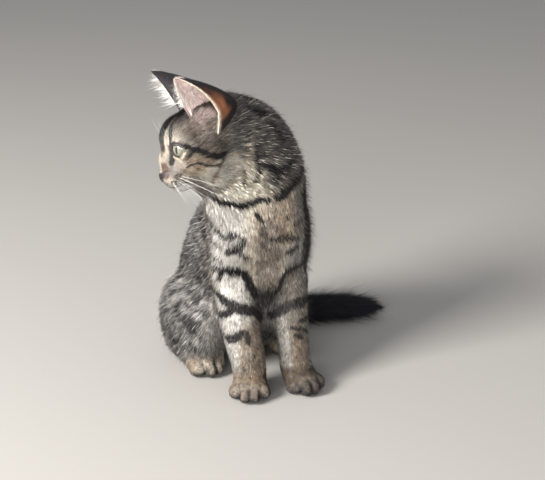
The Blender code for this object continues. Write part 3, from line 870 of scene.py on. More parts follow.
def head_markings(head, normals):
    """The same for points in the head's frame, where both sides are alike but for their ragged edges."""
    folded = mirrored(head)
    ragged = 0.16 * noise(head, 0.35, 5) + 0.10 * noise(head, 0.12, 6)
    ground = patched(folded, np.tile(TICKED * 1.05, (len(head), 1)), HEAD_PATCHES)
    # A pale ring round each eye.
    eye = np.array(EYE_CENTRE) + 0.6 * np.array(GAZE)
    ring = np.linalg.norm((folded - eye) / (0.95, 0.95, 0.85), axis=1)
    below = ramp(0.55, -0.1, folded[:, 2] - EYE_CENTRE[2])
    ground = tint(ground, CREAM * 0.85, 0.85 * ramp(1.35, 1.0, ring) * below)
    normals = np.column_stack((np.sign(head[:, 0]) * normals[:, 0], normals[:, 1:]))
    for colour, strokes in ((BROWN, BROWN_STROKES), (RUST, RUST_STROKES)):
        ground = tint(ground, colour, stroke_share(folded, normals, strokes, ragged, COLOUR_SPREAD))
    pale = stroke_share(folded, normals, PALE_STROKES, ragged, PALE_SPREAD)
    ground = tint(ground, CREAM * 0.6, pale)
    dark = stroke_share(folded, normals, HEAD_STROKES, ragged, HEAD_SPREAD)
    return ground, dark * (1 - 0.85 * pale)


def lid_darkness(points):
    """Dark fur along the upper lid, a thin line under the lower one, and a patch at the inner corner."""
    dark = np.zeros(len(points))
    for s in SIDES.values():
        sideways, upward, distance, outside = round_eye(points, s)
        near = (distance < EYE_RADIUS + 0.6) & (np.abs(sideways) < 85)
        over = ramp(-4, 8, upward) * ramp(19, 12, outside)
        under = ramp(8, 4, outside) * ramp(30, -20, sideways) * 0.9
        corner = ramp(-28, -44, sideways) * ramp(26, 16, outside)
        dark = np.maximum(dark, near * np.maximum.reduce((over, under, corner)))
    return dark


def markings(points, normals, shares):
    """Ground colour and darkness anywhere on the skin."""
    head_share = part_share(shares, "head")
    ground, dark = body_markings(points, normals)
    dark = np.maximum(dark, part_share(shares, "foreleg") * ramp(0.2, 0.75, noise(points, 0.17, 21)) * 0.5)
    ground, dark = paw_markings(points, shares, ground, dark)
    head = in_head(points)
    # The nape and the back of the neck are mottled, with broken slanting rows.
    nape = ramp(1.2, 3.2, head[:, 1]) * ramp(17.0, 19.0, points[:, 2])
    behind = ramp(4.0, 5.5, points[:, 1])
    slope = 0.55 * points[:, 2] - 0.75 * points[:, 0] + 0.6 * noise(points, 1.2, 9)
    rows = np.sin(2 * np.pi * slope / NAPE_PERIOD)
    ground = tint(ground, TICKED * 1.15, nape * 0.9)
    speckle = ramp(-0.1, 0.35, noise(points, 0.42, 20)) * 0.53
    mottled = nape * mix(speckle, ramp(-0.1, 0.6, rows + 0.3 * noise(points, 0.4, 10)) * 0.70, behind)
    for centre, half, colour, strong in NECK_PATCHES:
        away = np.linalg.norm((points - centre) / half, axis=1)
        share = strong * ramp(1.3, 0.6, away + 0.25 * noise(points, 0.5, 33))
        ground = tint(ground, colour, share)
        mottled = mottled * (1 - share)
    dark = np.maximum(dark, mottled)
    near = np.flatnonzero(head_share > 0.01)
    if len(near):
        head_ground, head_dark = head_markings(head[near], turned(normals[near], HEAD.inverted()))
        share = head_share[near]
        ground[near] = tint(ground[near], head_ground, share)
        dark[near] = mix(dark[near], np.maximum(head_dark, lid_darkness(points[near])), share)
    tail = part_share(shares, "tail")
    return tint(ground, TAIL_COLOUR, tail), dark * (1 - tail)


# The colours of each pair of paws: toes, instep and knuckles.
PAW_COLOURS = [
    (FOREPAWS, PEACH * 0.42, TAN * 0.36, CREAM * 0.4),
    (HINDPAWS, CREAM * 0.72, OCHRE * 0.62, CREAM * 0.9),
]
# How much darker each paw's colours are drawn; the left forepaw's far darker share is painted shade, the
# body's shadow laid into its colour.
PAW_SHADE, LEFT_FOREPAW_PAINTED_SHADE = 0.80, 0.30


def paw_markings(points, shares, ground, dark):
    """Tan insteps, cream toes, dark clefts between them and dark lower edges; the left forepaw is darkened
    all over by painted shade.
    """
    paws = paw_share(shares)
    for frames, toes, instep, knuckle in PAW_COLOURS:
        for side, matrix in frames.items():
            # On the left forepaw the colours are darkened by painted shade.
            shade = LEFT_FOREPAW_PAINTED_SHADE if side == "left" and frames is FOREPAWS else PAW_SHADE
            local = moved(points, matrix.inverted())
            _, y, z = local.T
            here = paws * (np.linalg.norm(local[:, :2] + (0, 0.8), axis=1) < 3.6)
            if not here.any():
                continue
            front = ramp(-0.9, -1.6, y)
            ground = tint(ground, instep * shade, 0.9 * here * (1 - front))
            ground = tint(ground, toes * shade, 0.92 * here * front)
            knuckles = np.exp(-(((y + 1.55) / 0.20) ** 2)) * (z > 1.0)
            ground = tint(ground, knuckle * shade, 0.6 * here * knuckles)
            speckle = ramp(0.05, 0.45, noise(points, 0.17, 41)) * here * ramp(0.3, 0.9, z)
            dark = np.maximum(dark, 0.5 * speckle)
            lower = ramp(0.95, 0.35, z + 0.3 * noise(points, 0.4, 22))
            ground = tint(ground, SMOKE * 0.9, 0.9 * here * lower)
            for away in from_clefts(local):
                dark = np.maximum(dark, ramp(0.11, 0.03, away) * ramp(-1.3, -1.8, y) * here * 0.85)
            dark = np.maximum(dark, here * ramp(0.15, 0.6, noise(points, 0.2, 23)) * mix(0.55, 0.42, front))
    return ground, dark


# ---------------------------------------------------------------- how the coat lies


TAIL_PATH = [(0.0, 14.0, 3.0), (1.8, 15.4, 1.9), (4.6, 15.6, 1.4)]
TAIL_PATH += [(8.0, 14.9, 1.35), (11.0, 14.3, 1.3), (14.2, 13.7, 1.0)]
NOSE_TIP = (0.0, -4.2, -1.0)
DOWN_FORELEG, DOWN_HINDLEG = (0.0, 0.1, -1.0), (-0.1, 0.35, -1.0)
OVER_TOES = (0.0, -1.0, -0.45)  # in a paw's frame


def laid(flows, normals):
    """Directions laid flat on the surface."""
    return unit(flows - normals * np.sum(flows * normals, axis=1)[:, None])


def lie_of_coat(points, normals, shares):
    """The way the coat lies at each vertex: from the nose back, down the body and out along each limb."""
    count = len(points)
    head = in_head(points)
    from_nose = head - NOSE_TIP
    from_nose[:, 1] += 0.5
    tail = curve_through(TAIL_PATH, 0.3)
    tail_way = unit(np.gradient(tail, axis=0))[nearest(tail, points)]
    inward = -0.5 * np.clip((points[:, 0] + 0.7) / 3.0, -1, 1) * ramp(4.5, 3.0, points[:, 1])
    trunk = np.column_stack((inward, 0.10 + 0.85 * ramp(3.5, 8.0, points[:, 1]), -np.ones(count)))
    from_head = unit(points - HEAD_CENTRE)
    neck = unit(turned(from_nose, HEAD)) * 0.4 + from_head * 0.6 + (0.1, 0.05, -0.2)
    fields = {"head": turned(unit(from_nose), HEAD), "neck": neck, "trunk": trunk, "tail": tail_way}
    for kind, down in (("foreleg", DOWN_FORELEG), ("hindleg", DOWN_HINDLEG)):
        fields[kind] = np.tile(down, (count, 1))
    for kind, frames in (("forepaw", FOREPAWS), ("hindpaw", HINDPAWS)):
        right = points[:, 0] < -0.5 if kind == "forepaw" else moved(points, HIPS.inverted())[:, 0] < 0
        ways = {side: turned([OVER_TOES], matrix) for side, matrix in frames.items()}
        fields[kind] = np.where(right[:, None], ways["right"], ways["left"])
    flows = np.zeros_like(points)
    for index, part in enumerate(PARTS):
        flows += shares[:, index : index + 1] * laid(unit(fields[part]), normals)
    return flows


# ---------------------------------------------------------------- growing tufts


OFBAKE = "OFBake"
PATCH = 0.003  # how wide a tuft's patch is on the unwrapped skin
FOLD, MARGIN = math.radians(66), 0.004  # where the unwrapped skin is cut, and the gap between its islands
SPIKE = np.array([(0, 1, 3), (1, 2, 3), (2, 0, 3)])
BLADE = np.array([(0, 1, 4), (0, 4, 3), (1, 2, 5), (1, 5, 4), (2, 0, 3), (2, 3, 5), *(SPIKE + 3)])
LOOSE = (0.0, 0.0)  # for tufts that gather in no locks
SWAY = 0.16  # radians to either side of the lie of the coat
LENGTH_VARIES, LIFT_VARIES = 0.22, 0.35
BLADE_BEND = (1.3, 0.55)  # how steep the lower and upper halves of a bent blade are, of its lift
STREAK_CELL, STREAK_STRETCH = 0.13, 0.68
STRIPE_EDGE, STRIPE_MIXED = (0.36, 0.62), 0.17  # darkness at which a tuft is part of a stripe
PALE_TIPS, DARK_TIPS = 0.30, 0.34  # shares of the ticked tufts
ROOT_DEPTH, LOWEST_HAIR, LOWEST_SKIN = 0.05, 0.03, 0.06
TUFT_TONE, LOCK_TONE, STREAK_TONE = 0.30, 0.24, 0.55  # how much tufts, locks and streaks differ in brightness


def unwrapped(points, triangles):
    """A place on the flattened skin for each corner of each triangle."""
    obj = mesh_object("unwrap", points * CM, triangles)
    bpy.context.view_layer.objects.active = obj
    obj.select_set(True)
    bpy.ops.object.mode_set(mode="EDIT")
    bpy.ops.mesh.select_all(action="SELECT")
    bpy.ops.uv.smart_project(angle_limit=FOLD, island_margin=MARGIN)
    bpy.ops.object.mode_set(mode="OBJECT")
    mesh = obj.data
    flat = array_of(mesh.uv_layers.active.data, "uv", 2, np.float32)
    bpy.data.objects.remove(obj)
    bpy.data.meshes.remove(mesh)
    return flat.reshape(-1, 3, 2).astype(float)


def scattered(points, triangles, density):
    """Random places on the triangles: which triangle, and the shares of its corners."""
    a, b, c = (points[triangles[:, k]] for k in range(3))
    area = 0.5 * np.linalg.norm(np.cross(b - a, c - a), axis=1)
    wanted = area * density[triangles].mean(axis=1)
    count = int(wanted.sum())
    total = np.cumsum(wanted)
    at = (np.arange(count) + RNG.random(count)) / count * total[-1]
    chosen = np.minimum(np.searchsorted(total, at), len(triangles) - 1)
    u, v = RNG.random(count), RNG.random(count)
    over = u + v > 1
    u[over], v[over] = 1 - u[over], 1 - v[over]
    return chosen, np.column_stack((1 - u - v, u, v))


def at_roots(values, triangles, chosen, corners):
    """Values on the vertices, read at places on the triangles."""
    picked = values[triangles[chosen]]
    weights = corners[..., None] if picked.ndim == 3 else corners
    return (picked * weights).sum(axis=1)


def locks(roots, normals, share):
    """Sorts tufts into locks: the index of each lock's leading tuft, and how closely each belongs to it."""
    middles = RNG.choice(len(roots), max(1, int(len(roots) * share)), replace=False)
    lock = middles[nearest(roots[middles], roots)]
    same_side = np.sum(normals * normals[lock], axis=1) > 0.5
    return lock, same_side * ramp(1.0, 0.3, np.linalg.norm(roots - roots[lock], axis=1))


def tufts(roots, normals, flows, size, colours, places, lock, bent):
    """Thin tufts, straight spikes or bent blades. Colours are those of root, middle and tip.

    Size is their length, width and lift. Places are on the unwrapped skin.
    Lock gives the share of tufts that lead a lock, and how far it draws in.
    """
    length, width, lift = size
    count = len(roots)
    swing = RNG.normal(0, SWAY, count)
    length = length * np.clip(RNG.normal(1, LENGTH_VARIES, count), 0.45, 1.8)
    steep = np.radians(lift) * np.clip(RNG.normal(1, LIFT_VARIES, count), 0.2, 2.4)
    side = unit(np.cross(flows, normals))
    way = flows * np.cos(swing)[:, None] + side * np.sin(swing)[:, None]
    side = unit(np.cross(way, normals))
    rise, fall = ((factor * steep)[:, None] for factor in (BLADE_BEND if bent else (1.0, 1.0)))
    middle_of = roots + (way * np.cos(rise) + normals * np.sin(rise)) * (0.45 * length)[:, None]
    tips = middle_of + (way * np.cos(fall) + normals * np.sin(fall)) * (0.55 * length)[:, None]
    if lock[1]:
        leader, near = locks(roots, normals, lock[0])
        tips = tint(tips, tips[leader] + 0.25 * (roots - roots[leader]), lock[1] * near)
        middle_of = tint(middle_of, 0.5 * (roots + tips) + normals * (0.12 * length)[:, None], 0.5)
        tone = np.exp(RNG.normal(0, LOCK_TONE, count))[leader][:, None]
        colours = [colour * tone for colour in colours]
    half = (0.5 * width * RNG.uniform(0.75, 1.25, count))[:, None]
    up = unit(np.cross(side, way))

    def ring(centre, share):
        return [centre + side * half * share, centre - side * half * share, centre + up * half * 0.6 * share]

    shape, levels = ring(roots - normals * ROOT_DEPTH, 1.0), [0, 0, 0]
    if bent:
        shape += ring(middle_of, 0.85)
        levels += [1, 1, 1]
    shape = np.stack(shape + [tips], axis=1)
    levels.append(2)
    shape[..., 2] = np.maximum(shape[..., 2], LOWEST_HAIR)
    corners = shape.shape[1]
    faces = BLADE if bent else SPIKE
    triangles = (faces[None] + (np.arange(count) * corners)[:, None, None]).reshape(-1, 3)
    painted = np.stack([colours[level] for level in levels], axis=1).reshape(-1, 3)
    across = [0.5, -0.5, 0.0] * (corners // 3) + [0.0]
    spots = places[:, None, :] + PATCH * np.column_stack((across, np.array(levels) / 2))[None]
    return shape.reshape(-1, 3), triangles, painted, np.clip(spots.reshape(-1, 2), 0.0005, 0.9995)


def coat_object(name, sets, material):
    """One piece of coat made of several sets of tufts."""
    points, triangles, colours, spots = zip(*sets)
    triangles = joined(points, triangles)
    obj = mesh_object(name, to_world(np.vstack(points)), triangles)
    paint(obj, "coat", np.clip(np.vstack(colours), 0.0, 1.0))
    layer = obj.data.uv_layers.new(name=OFBAKE)
    layer.data.foreach_set("uv", np.vstack(spots)[triangles.ravel()].astype(np.float32).ravel())
    obj.data.materials.append(material)
    return obj


def streaks(points, ways):
    """Noise drawn out along the lie of the coat, from -1 to 1."""
    along_ways = ways * np.sum(points * ways, axis=1)[:, None]
    return noise(points - STREAK_STRETCH * along_ways, STREAK_CELL, 31)


def tuft_colours(ground, dark, ticking, streak=0.0):
    """Root, middle and tip colours: each tuft is either ground or stripe, more or less bright."""
    count = len(ground)
    stripe = ramp(*STRIPE_EDGE, dark + RNG.normal(0, STRIPE_MIXED, count))
    bright = np.exp(RNG.normal(0, TUFT_TONE, count) + STREAK_TONE * streak)[:, None]
    body = tint(ground, CHARCOAL, stripe) * bright
    tick = RNG.random(count)
    pale_tip = ((tick < PALE_TIPS * ticking) * (1 - 0.8 * stripe))[:, None]
    dark_tip = ((tick > 1 - DARK_TIPS * ticking) * (1 - stripe))[:, None]
    tip = body * 1.15 + pale_tip * (PALE_GREY - body) - dark_tip * body * 0.8
    root = tint(body, SMOKE, 0.15 + 0.40 * ticking) * (0.9 - 0.2 * ticking)[:, None]
    return root, body, tip


# ---------------------------------------------------------------- materials


def add_node(material, kind, inputs=(), **settings):
    """A shader node with its settings; each input is a socket, and a value or the output that feeds it."""
    node = material.node_tree.nodes.new("ShaderNode" + kind)
    for name, value in settings.items():
        setattr(node, name, value)
    feed(material, node, dict(inputs))
    return node


def feed(material, node, inputs):
    """Sets the inputs of a node, or links them to other nodes' outputs."""
    for socket, value in inputs.items():
        if isinstance(value, bpy.types.NodeSocket):
            material.node_tree.links.new(value, node.inputs[socket])
        else:
            node.inputs[socket].default_value = value


def material_with(name, roughness, specular):
    """A material and its shader."""
    made = bpy.data.materials.new(name)
    made.use_nodes = True
    shader = made.node_tree.nodes["Principled BSDF"]
    feed(made, shader, {"Roughness": roughness, "Specular IOR Level": specular})
    return made, shader


def named_values(material, name):
    """What a named attribute of the mesh gives out."""
    return add_node(material, "Attribute", attribute_name=name).outputs


def multiplied(material, a, b):
    """One colour times another."""
    inputs = {"Factor": 1.0, "A": a, "B": b}
    return add_node(material, "Mix", inputs, data_type="RGBA", blend_type="MULTIPLY").outputs["Result"]


def rescaled(material, value, low, high, first=0.0, last=1.0):
    """A value from first to last, stretched to run from low to high."""
    inputs = {"Value": value, "From Min": first, "From Max": last, "To Min": low, "To Max": high}
    return add_node(material, "MapRange", inputs).outputs["Result"]


def coat_material(name, roughness=0.62, bump=0.0):
    """Hair: its own painted colour, with a fine change of tone along and across the hairs."""
    made, shader = material_with(name, roughness, 0.25)
    painted = named_values(made, "coat")["Color"]
    place = add_node(made, "TexCoord").outputs["Object"]
    grain = add_node(made, "TexNoise", {"Vector": place, "Scale": 900.0, "Detail": 2.0}).outputs["Fac"]
    feed(made, shader, {"Base Color": multiplied(made, painted, rescaled(made, grain, 0.80, 1.20))})
    if bump:
        raised = add_node(made, "Bump", {"Strength": bump, "Distance": 0.0004, "Height": grain})
        feed(made, shader, {"Normal": raised.outputs["Normal"]})
    return made


def skin_material():
    """Skin in the colours of its coat; the nose leather is pebbled and a little moist."""
    made = coat_material("skin", roughness=0.7, bump=0.25)
    moist = named_values(made, "moist")["Fac"]
    feed(made, made.node_tree.nodes["Principled BSDF"], {"Roughness": rescaled(made, moist, 0.72, 0.34)})
    return made


# ---------------------------------------------------------------- eyes


CORNEA, LID_RIM = 0.045, 0.034  # how far the cornea bulges, and how thick the edge of the lids is
PUPIL_HALF_WIDTH, PUPIL_HALF_HEIGHT = 0.115, 0.36
PUPIL_TURN = 20.0  # degrees; the slit stays upright though the head is bent down
PUPIL_COLOUR = (0.004, 0.004, 0.004, 1.0)
IRIS_EDGE = 0.80  # as a share of the eyeball's radius
IRIS_PALE, IRIS_DEEP = (0.148, 0.140, 0.108), (0.075, 0.074, 0.055)
# Colours from the middle of the eye outwards, by shares of its radius.
IRIS_RINGS = [
    (0.0, IRIS_PALE),
    (0.30, IRIS_PALE),
    (0.62, IRIS_DEEP),
    (IRIS_EDGE - 0.05, (0.10, 0.11, 0.08)),
    (IRIS_EDGE, (0.012, 0.010, 0.010)),
    (1.0, (0.02, 0.015, 0.013)),
]


def colours_along(material, value, stops):
    """A colour for a value from 0 to 1, between the stops on either side of it."""
    node = add_node(material, "ValToRGB", {0: value})
    elements = node.color_ramp.elements
    while len(elements) < len(stops):
        elements.new(0.5)
    for element, (position, colour) in zip(elements, stops):
        element.position = position
        element.color = (*colour, 1.0)
    return node.outputs[0]


def eye_material():
    """A pale grey-green iris with a dark rim and fine rays, an upright slit pupil, and a wet surface."""
    made, shader = material_with("eye", 0.30, 0.4)
    feed(made, shader, {"Coat Weight": 0.6, "Coat Roughness": 0.02})

    def done(operation, first, second=0.5):
        return add_node(made, "Math", {0: first, 1: second}, operation=operation).outputs[0]

    def squares(a, b):
        return done("ADD", done("MULTIPLY", a, a), done("MULTIPLY", b, b))

    split = add_node(made, "SeparateXYZ", {0: named_values(made, "on_eye")["Vector"]})
    x, z = split.outputs[0], split.outputs[2]
    radius = done("SQRT", squares(x, z))
    across = done("MULTIPLY", done("ARCTAN2", x, z), 9.0)
    rays_at = add_node(made, "CombineXYZ", {0: across, 1: done("MULTIPLY", radius, 3.0)}).outputs[0]
    rays = add_node(made, "TexNoise", {"Vector": rays_at, "Scale": 1.6, "Detail": 4.0}).outputs["Fac"]
    rings = colours_along(made, radius, IRIS_RINGS)
    iris = multiplied(made, rings, rescaled(made, rays, 0.6, 1.3, 0.3, 0.7))
    pupil = squares(done("DIVIDE", x, PUPIL_HALF_WIDTH), done("DIVIDE", z, PUPIL_HALF_HEIGHT))
    inputs = {"Factor": rescaled(made, pupil, 0.0, 1.0, 0.8, 1.15), "A": PUPIL_COLOUR, "B": iris}
    seen = add_node(made, "Mix", inputs, data_type="RGBA")
    feed(made, shader, {"Base Color": seen.outputs["Result"]})
    return made


def eyeball(side, s, material):
    """An eyeball whose rings run round its gaze, with a slightly bulging cornea."""
    rings, segments = 72, 96
    slope, around = np.linspace(0, np.pi, rings), np.arange(segments) * 2 * np.pi / segments
    slope, around = np.meshgrid(slope, around, indexing="ij")
    radius = EYE_RADIUS - 0.02 + CORNEA * ramp(0.85, 0.2, slope)
    level = np.sin(slope)
    shape = np.stack((level * np.cos(around), -np.cos(slope), level * np.sin(around)), axis=-1)
    quads = wrapped_quads(np.arange(rings * segments).reshape(rings, segments))
    points = moved((shape * radius[..., None]).reshape(-1, 3), eye_frame(s))
    obj = mesh_object("eyeball_" + side, to_world(points), quads)
    form = bmesh.new()
    form.from_mesh(obj.data)
    place = form.verts.layers.float_vector.new("on_eye")
    turn_by = math.radians(PUPIL_TURN)
    across = shape[..., 0] * math.cos(turn_by) - shape[..., 2] * math.sin(turn_by)
    upright = shape[..., 0] * math.sin(turn_by) + shape[..., 2] * math.cos(turn_by)
    for vertex, at in zip(form.verts, np.stack((across, shape[..., 1], upright), axis=-1).reshape(-1, 3)):
        vertex[place] = at
    bmesh.ops.remove_doubles(form, verts=form.verts, dist=1e-6)
    bmesh.ops.recalc_face_normals(form, faces=form.faces)
    form.to_mesh(obj.data)
    form.free()
    obj.data.materials.append(material)
    return obj


def lid_rims(s):
    """The dark bare edge of the lids, a thin rim that rests on the eyeball round the opening."""
    sides, count = 8, 96
    t = np.linspace(0, 2 * np.pi, count, endpoint=False)
    across = np.cos(t)
    top, bottom = opening_edge(across)
    sideways = np.radians(OPENING_HALF_WIDTH * across)
    upward = np.radians(np.where(np.sin(t) >= 0, top, bottom))
    level = np.cos(upward)
    way = np.column_stack((np.sin(sideways) * level, -np.cos(sideways) * level, np.sin(upward)))
    line = way * (EYE_RADIUS + 0.02)
    forward = unit(np.roll(line, -1, axis=0) - np.roll(line, 1, axis=0))
    outward = unit(np.cross(forward, way))
    turn = np.arange(sides) * 2 * np.pi / sides
    tube = outward[:, None] * np.cos(turn)[:, None] + way[:, None] * np.sin(turn)[:, None]
    tube = line[:, None] + LID_RIM * tube
    grid = np.arange(count * sides).reshape(count, sides)
    return moved(tube.reshape(-1, 3), eye_frame(s)), wrapped_quads(np.vstack((grid, grid[:1])))


# ---------------------------------------------------------------- the skin and its markings


def split_quads(quads):
    return np.vstack((quads[:, (0, 1, 2)], quads[:, (0, 2, 3)]))


def ear_colours(shape, s):
    """Ground colour and darkness of an ear, from (up, turn, which side)."""
    up, lateral, facing = shape[:, 0], s * shape[:, 1], shape[:, 2]
    wobble = noise(np.column_stack((up * 5, lateral * 3, facing)), 0.5, 12)
    back = tint(RUST * 0.36, RUST * 0.2, ramp(0.35, 0.85, up + 0.2 * wobble))
    # A brighter rusty streak low on the back near the outer edge: a painted highlight over the ear's own
    # rusty colour.
    back = tint(back, RUST * 1.05, np.exp(-(((lateral - 0.76) / 0.16) ** 2) - ((up - 0.24) / 0.24) ** 2))
    dark = ramp(0.72, 0.48, lateral + 0.15 * wobble) + ramp(0.50, 0.85, up + 0.15 * wobble)
    dark = np.clip(dark + ramp(0.14, 0.02, up), 0, 1) * 0.95
    inner = tint(PINK * 0.62, (0.70, 0.535, 0.51), ramp(-0.1, 0.75, up - 0.35 * lateral))
    edge = np.clip(ramp(0.86, 0.96, lateral) + ramp(0.92, 0.98, up), 0, 1)
    inner = tint(inner, CREAM * 1.2, edge)
    rim = ramp(0.93, 0.98, lateral)
    ground = np.where(facing[:, None] > 0, tint(back, CREAM * 1.2, rim), inner)
    return ground, np.where(facing > 0, dark * (1 - rim), 0.0)


LID_MOIST = 0.8


def build_skin():
    """The skin object, and the arrays of its furred part for the coat."""
    obj = outer_form()
    sink(obj)
    refine_face(obj)
    skin = Skin(obj)
    skin.points = shape_nose_and_mouth(skin.points, skin.normals)
    skin.points = shape_toes(skin.points, skin.normals)
    skin.points = smooth_temples(skin)
    skin.points = open_eyes(skin.points)
    skin.points = smooth_temples(skin)
    skin.points[:, 2] = np.maximum(skin.points[:, 2], LOWEST_SKIN)
    skin.normals = normals_at(skin.points, skin.triangles)
    skin.shares = skin.even(parts_at(skin.points), 10)
    skin.depth = coat_depth(skin.points, skin.shares)
    bpy.data.objects.remove(obj)

    ground, dark = markings(skin.points + skin.normals * skin.depth[:, None], skin.normals, skin.shares)
    leather = nose_share(in_head(skin.points)) * part_share(skin.shares, "head")
    under = tint(tint(ground * 0.75, CHARCOAL, dark * 0.9), LEATHER, leather)
    made = [(skin.points, skin.triangles, under, leather)]
    for s in SIDES.values():
        points, quads, shape = ear_skin(s)
        ear_ground, ear_dark = ear_colours(shape, s)
        made.append((points, split_quads(quads), tint(ear_ground * 0.9, CHARCOAL, ear_dark), 0 * ear_dark))
        points, quads = lid_rims(s)
        sideways, upward, _, _ = round_eye(points, s)
        rim = tint(LEATHER * 0.8, SMOKE * 2.2, ramp(-5, 25, sideways) * ramp(8, -8, upward))
        made.append((points, split_quads(quads), rim, np.full(len(points), LID_MOIST)))
    points, triangles, colours, moist = zip(*made)
    whole = mesh_object("skin", to_world(np.vstack(points)), joined(points, triangles))
    paint(whole, "coat", np.vstack(colours))
    layer = whole.data.attributes.new("moist", "FLOAT", "POINT")
    layer.data.foreach_set("value", np.concatenate(moist).astype(np.float32))
    return whole, skin


# ---------------------------------------------------------------- the coat


CHEST_SHORTER, CHEST_DENSER = 0.2, 0.35  # by what shares the chest's tufts are shorter and closer
CHEST_BACK, LEGS_APART = 4.6, -0.45  # where the chest's piece ends, and the line between the forelegs


def coat_tables(skin):
    """Length, width, lift and number of tufts at each vertex of the skin."""
    head = in_head(skin.points)
    face = face_share(head) * part_share(skin.shares, "head")
    chest = ramp(4.5, 2.5, skin.points[:, 1]) * part_share(skin.shares, "trunk")
    tables = (TUFT_LENGTH, TUFT_WIDTH, TUFT_LIFT, TUFTS_PER_CM2)
    length, width, lift, density = (skin.shares @ table for table in tables)
    for centre, half, _, _ in NECK_PATCHES:
        throat = ramp(1.2, 0.8, np.linalg.norm((skin.points - centre) / half, axis=1))
        length = mix(length, 0.5, throat * (1 - face))
    length = length * (1 - CHEST_SHORTER * chest)
    length = mix(length, FACE_LENGTH + CHEEKS_LONGER * ramp(-3.4, 0.3, head[:, 1]), face)
    width = mix(width, FACE_WIDTH, face)
    lift = mix(lift, FACE_LIFT, face)
    density = mix(density, FACE_TUFTS, face)
    density = density * (1 + CHEST_DENSER * chest)
    bare = nose_share(head)
    for s in SIDES.values():
        sideways, _, distance, outside = round_eye(skin.points, s)
        inside = ramp(4.0, 1.0, outside) * (distance < EYE_RADIUS + 0.5) * (np.abs(sideways) < 90)
        bare = np.maximum(bare, inside)
    density = density * (1 - ramp(0.3, 0.7, bare)) * ramp(0.06, 0.12, skin.points[:, 2])
    return length, width, lift, density


def piece_of(skin):
    """The name of the coat piece that each triangle of the skin belongs to."""
    centres = skin.points[skin.triangles].mean(axis=1)
    part = np.array(PARTS)[skin.shares[skin.triangles].mean(axis=1).argmax(axis=1)]
    hips_left = moved(centres, HIPS.inverted())[:, 0] >= 0
    left = {"foreleg": centres[:, 0] >= LEGS_APART, "hindleg": hips_left, "flank": hips_left}
    part[(part == "head") & (face_share(in_head(centres)) > 0.25)] = "face"
    part[(part == "forepaw") | (part == "hindpaw")] = "paws"
    part[part == "trunk"] = np.where(centres[part == "trunk", 1] < CHEST_BACK, "chest", "flank")
    names = np.array(["coat_" + name for name in part], object)
    for kind, on_left in left.items():
        names[(part == kind) & on_left] = "coat_" + kind + "_left"
        names[(part == kind) & ~on_left] = "coat_" + kind + "_right"
    return names


# How the coat gathers on each piece: the share of tufts that lead a lock, and how far the lock draws in.
LOCKS = {
    "chest": (0.07, 0.5),
    "flank": (0.07, 0.5),
    "neck": (0.08, 0.45),
    "hindleg": (0.07, 0.45),
    "tail": (0.06, 0.4),
    "head": (0.10, 0.3),
    "face": (0.09, 0.25),
    "foreleg": (0.10, 0.3),
    "paws": (0.12, 0.2),
}
# Guard hairs: their share, how long and steep they are beside the others, and how thick.
GUARD_HAIRS = {
    "chest": (0.12, 1.45, 2.8, 0.8),
    "flank": (0.02, 1.45, 1.5, 0.8),
    "neck": (0.03, 1.45, 1.5, 0.8),
    "hindleg": (0.02, 1.45, 1.5, 0.8),
    "tail": (0.06, 1.45, 1.5, 0.8),
}
SEEN, FEATHER = 0.62, 0.16  # how far along a tuft the part that shows lies, and how much that varies
SEEN_AT = 0.7  # how high in the coat's depth


def grow_coat(skin, material):
    """The pieces of coat that grow on the skin."""
    length, width, lift, density = coat_tables(skin)
    flows = lie_of_coat(skin.points, skin.normals, skin.shares)
    for _ in range(3):
        flows = laid(skin.even(flows, 4), skin.normals)
    head = in_head(skin.points)
    behind_eyes = face_share(head) * ramp(-3.2, -1.6, head[:, 1])
    flows = laid(tint(flows, skin.even(flows, 90), behind_eyes), skin.normals)
    names = piece_of(skin)
    made = []
    for name in sorted(set(names)):
        kind = name.split("_")[1]
        triangles = skin.triangles[names == name]
        used = np.unique(triangles)
        unwrap = unwrapped(skin.points[used], np.searchsorted(used, triangles))

        def grown(share, longer, steeper, finer, bent):
            # On the chest, guard hairs stand out only at its left edge.
            edge = ramp(2.2, 3.4, skin.points[:, 0]) if bent and kind == "chest" else 1.0
            chosen, corners = scattered(skin.points, triangles, density * share * edge)

            def read(values):
                return at_roots(values, triangles, chosen, corners)

            roots, normals, shares = read(skin.points), unit(read(skin.normals)), read(skin.shares)
            places = (unwrap[chosen] * corners[..., None]).sum(axis=1)
            way = laid(read(flows), normals)
            reach = read(length) * longer
            place = SEEN + RNG.normal(0, FEATHER, len(roots))
            seen = roots + way * (place * reach)[:, None] + normals * (SEEN_AT * read(skin.depth))[:, None]
            ground, dark = markings(seen, normals, shares)
            paleness = ground.mean(axis=1)
            ticking = ramp(0.56, 0.34, paleness) * ramp(0.02, 0.08, paleness) * (1 - 0.85 * paw_share(shares))
            size = (reach, read(width) * finer, read(lift) * steeper)
            colours = tuft_colours(ground, dark, ticking, streaks(seen, way))
            lock = LOOSE if bent else LOCKS[kind]
            return tufts(roots, normals, way, size, colours, places, lock, bent)

        sets = [grown(1.0, 1.0, 1.0, 1.0, False)]
        if kind in GUARD_HAIRS:
            sets.append(grown(*GUARD_HAIRS[kind], True))
        made.append(coat_object(name, sets, material))
    return made


def ear_places(s, count, up_range, lateral_range, facing):
    """Random places on an ear where fur grows: up, turn, place, normal, and the ways up it and round it."""
    up = RNG.uniform(*up_range, count)
    turn = s * RNG.uniform(*lateral_range, count)
    along_up, round_it = ear_slopes(up, turn)
    round_it = round_it / (2 * EAR_STEP)
    keep = RNG.random(count) < np.linalg.norm(round_it, axis=1) / 4.2
    outward = unit(np.cross(round_it, along_up))
    outward *= np.sign(np.sum(outward * (ear_point(up, turn) - (0, -0.6, 0)) * (1, 1, 0), axis=1))[:, None]
    surface = ear_point(up, turn) + outward * facing * EAR_SKIN * 0.7
    found = (up, turn, surface, facing * outward, unit(along_up), unit(round_it))
    return [values[keep] for values in found]


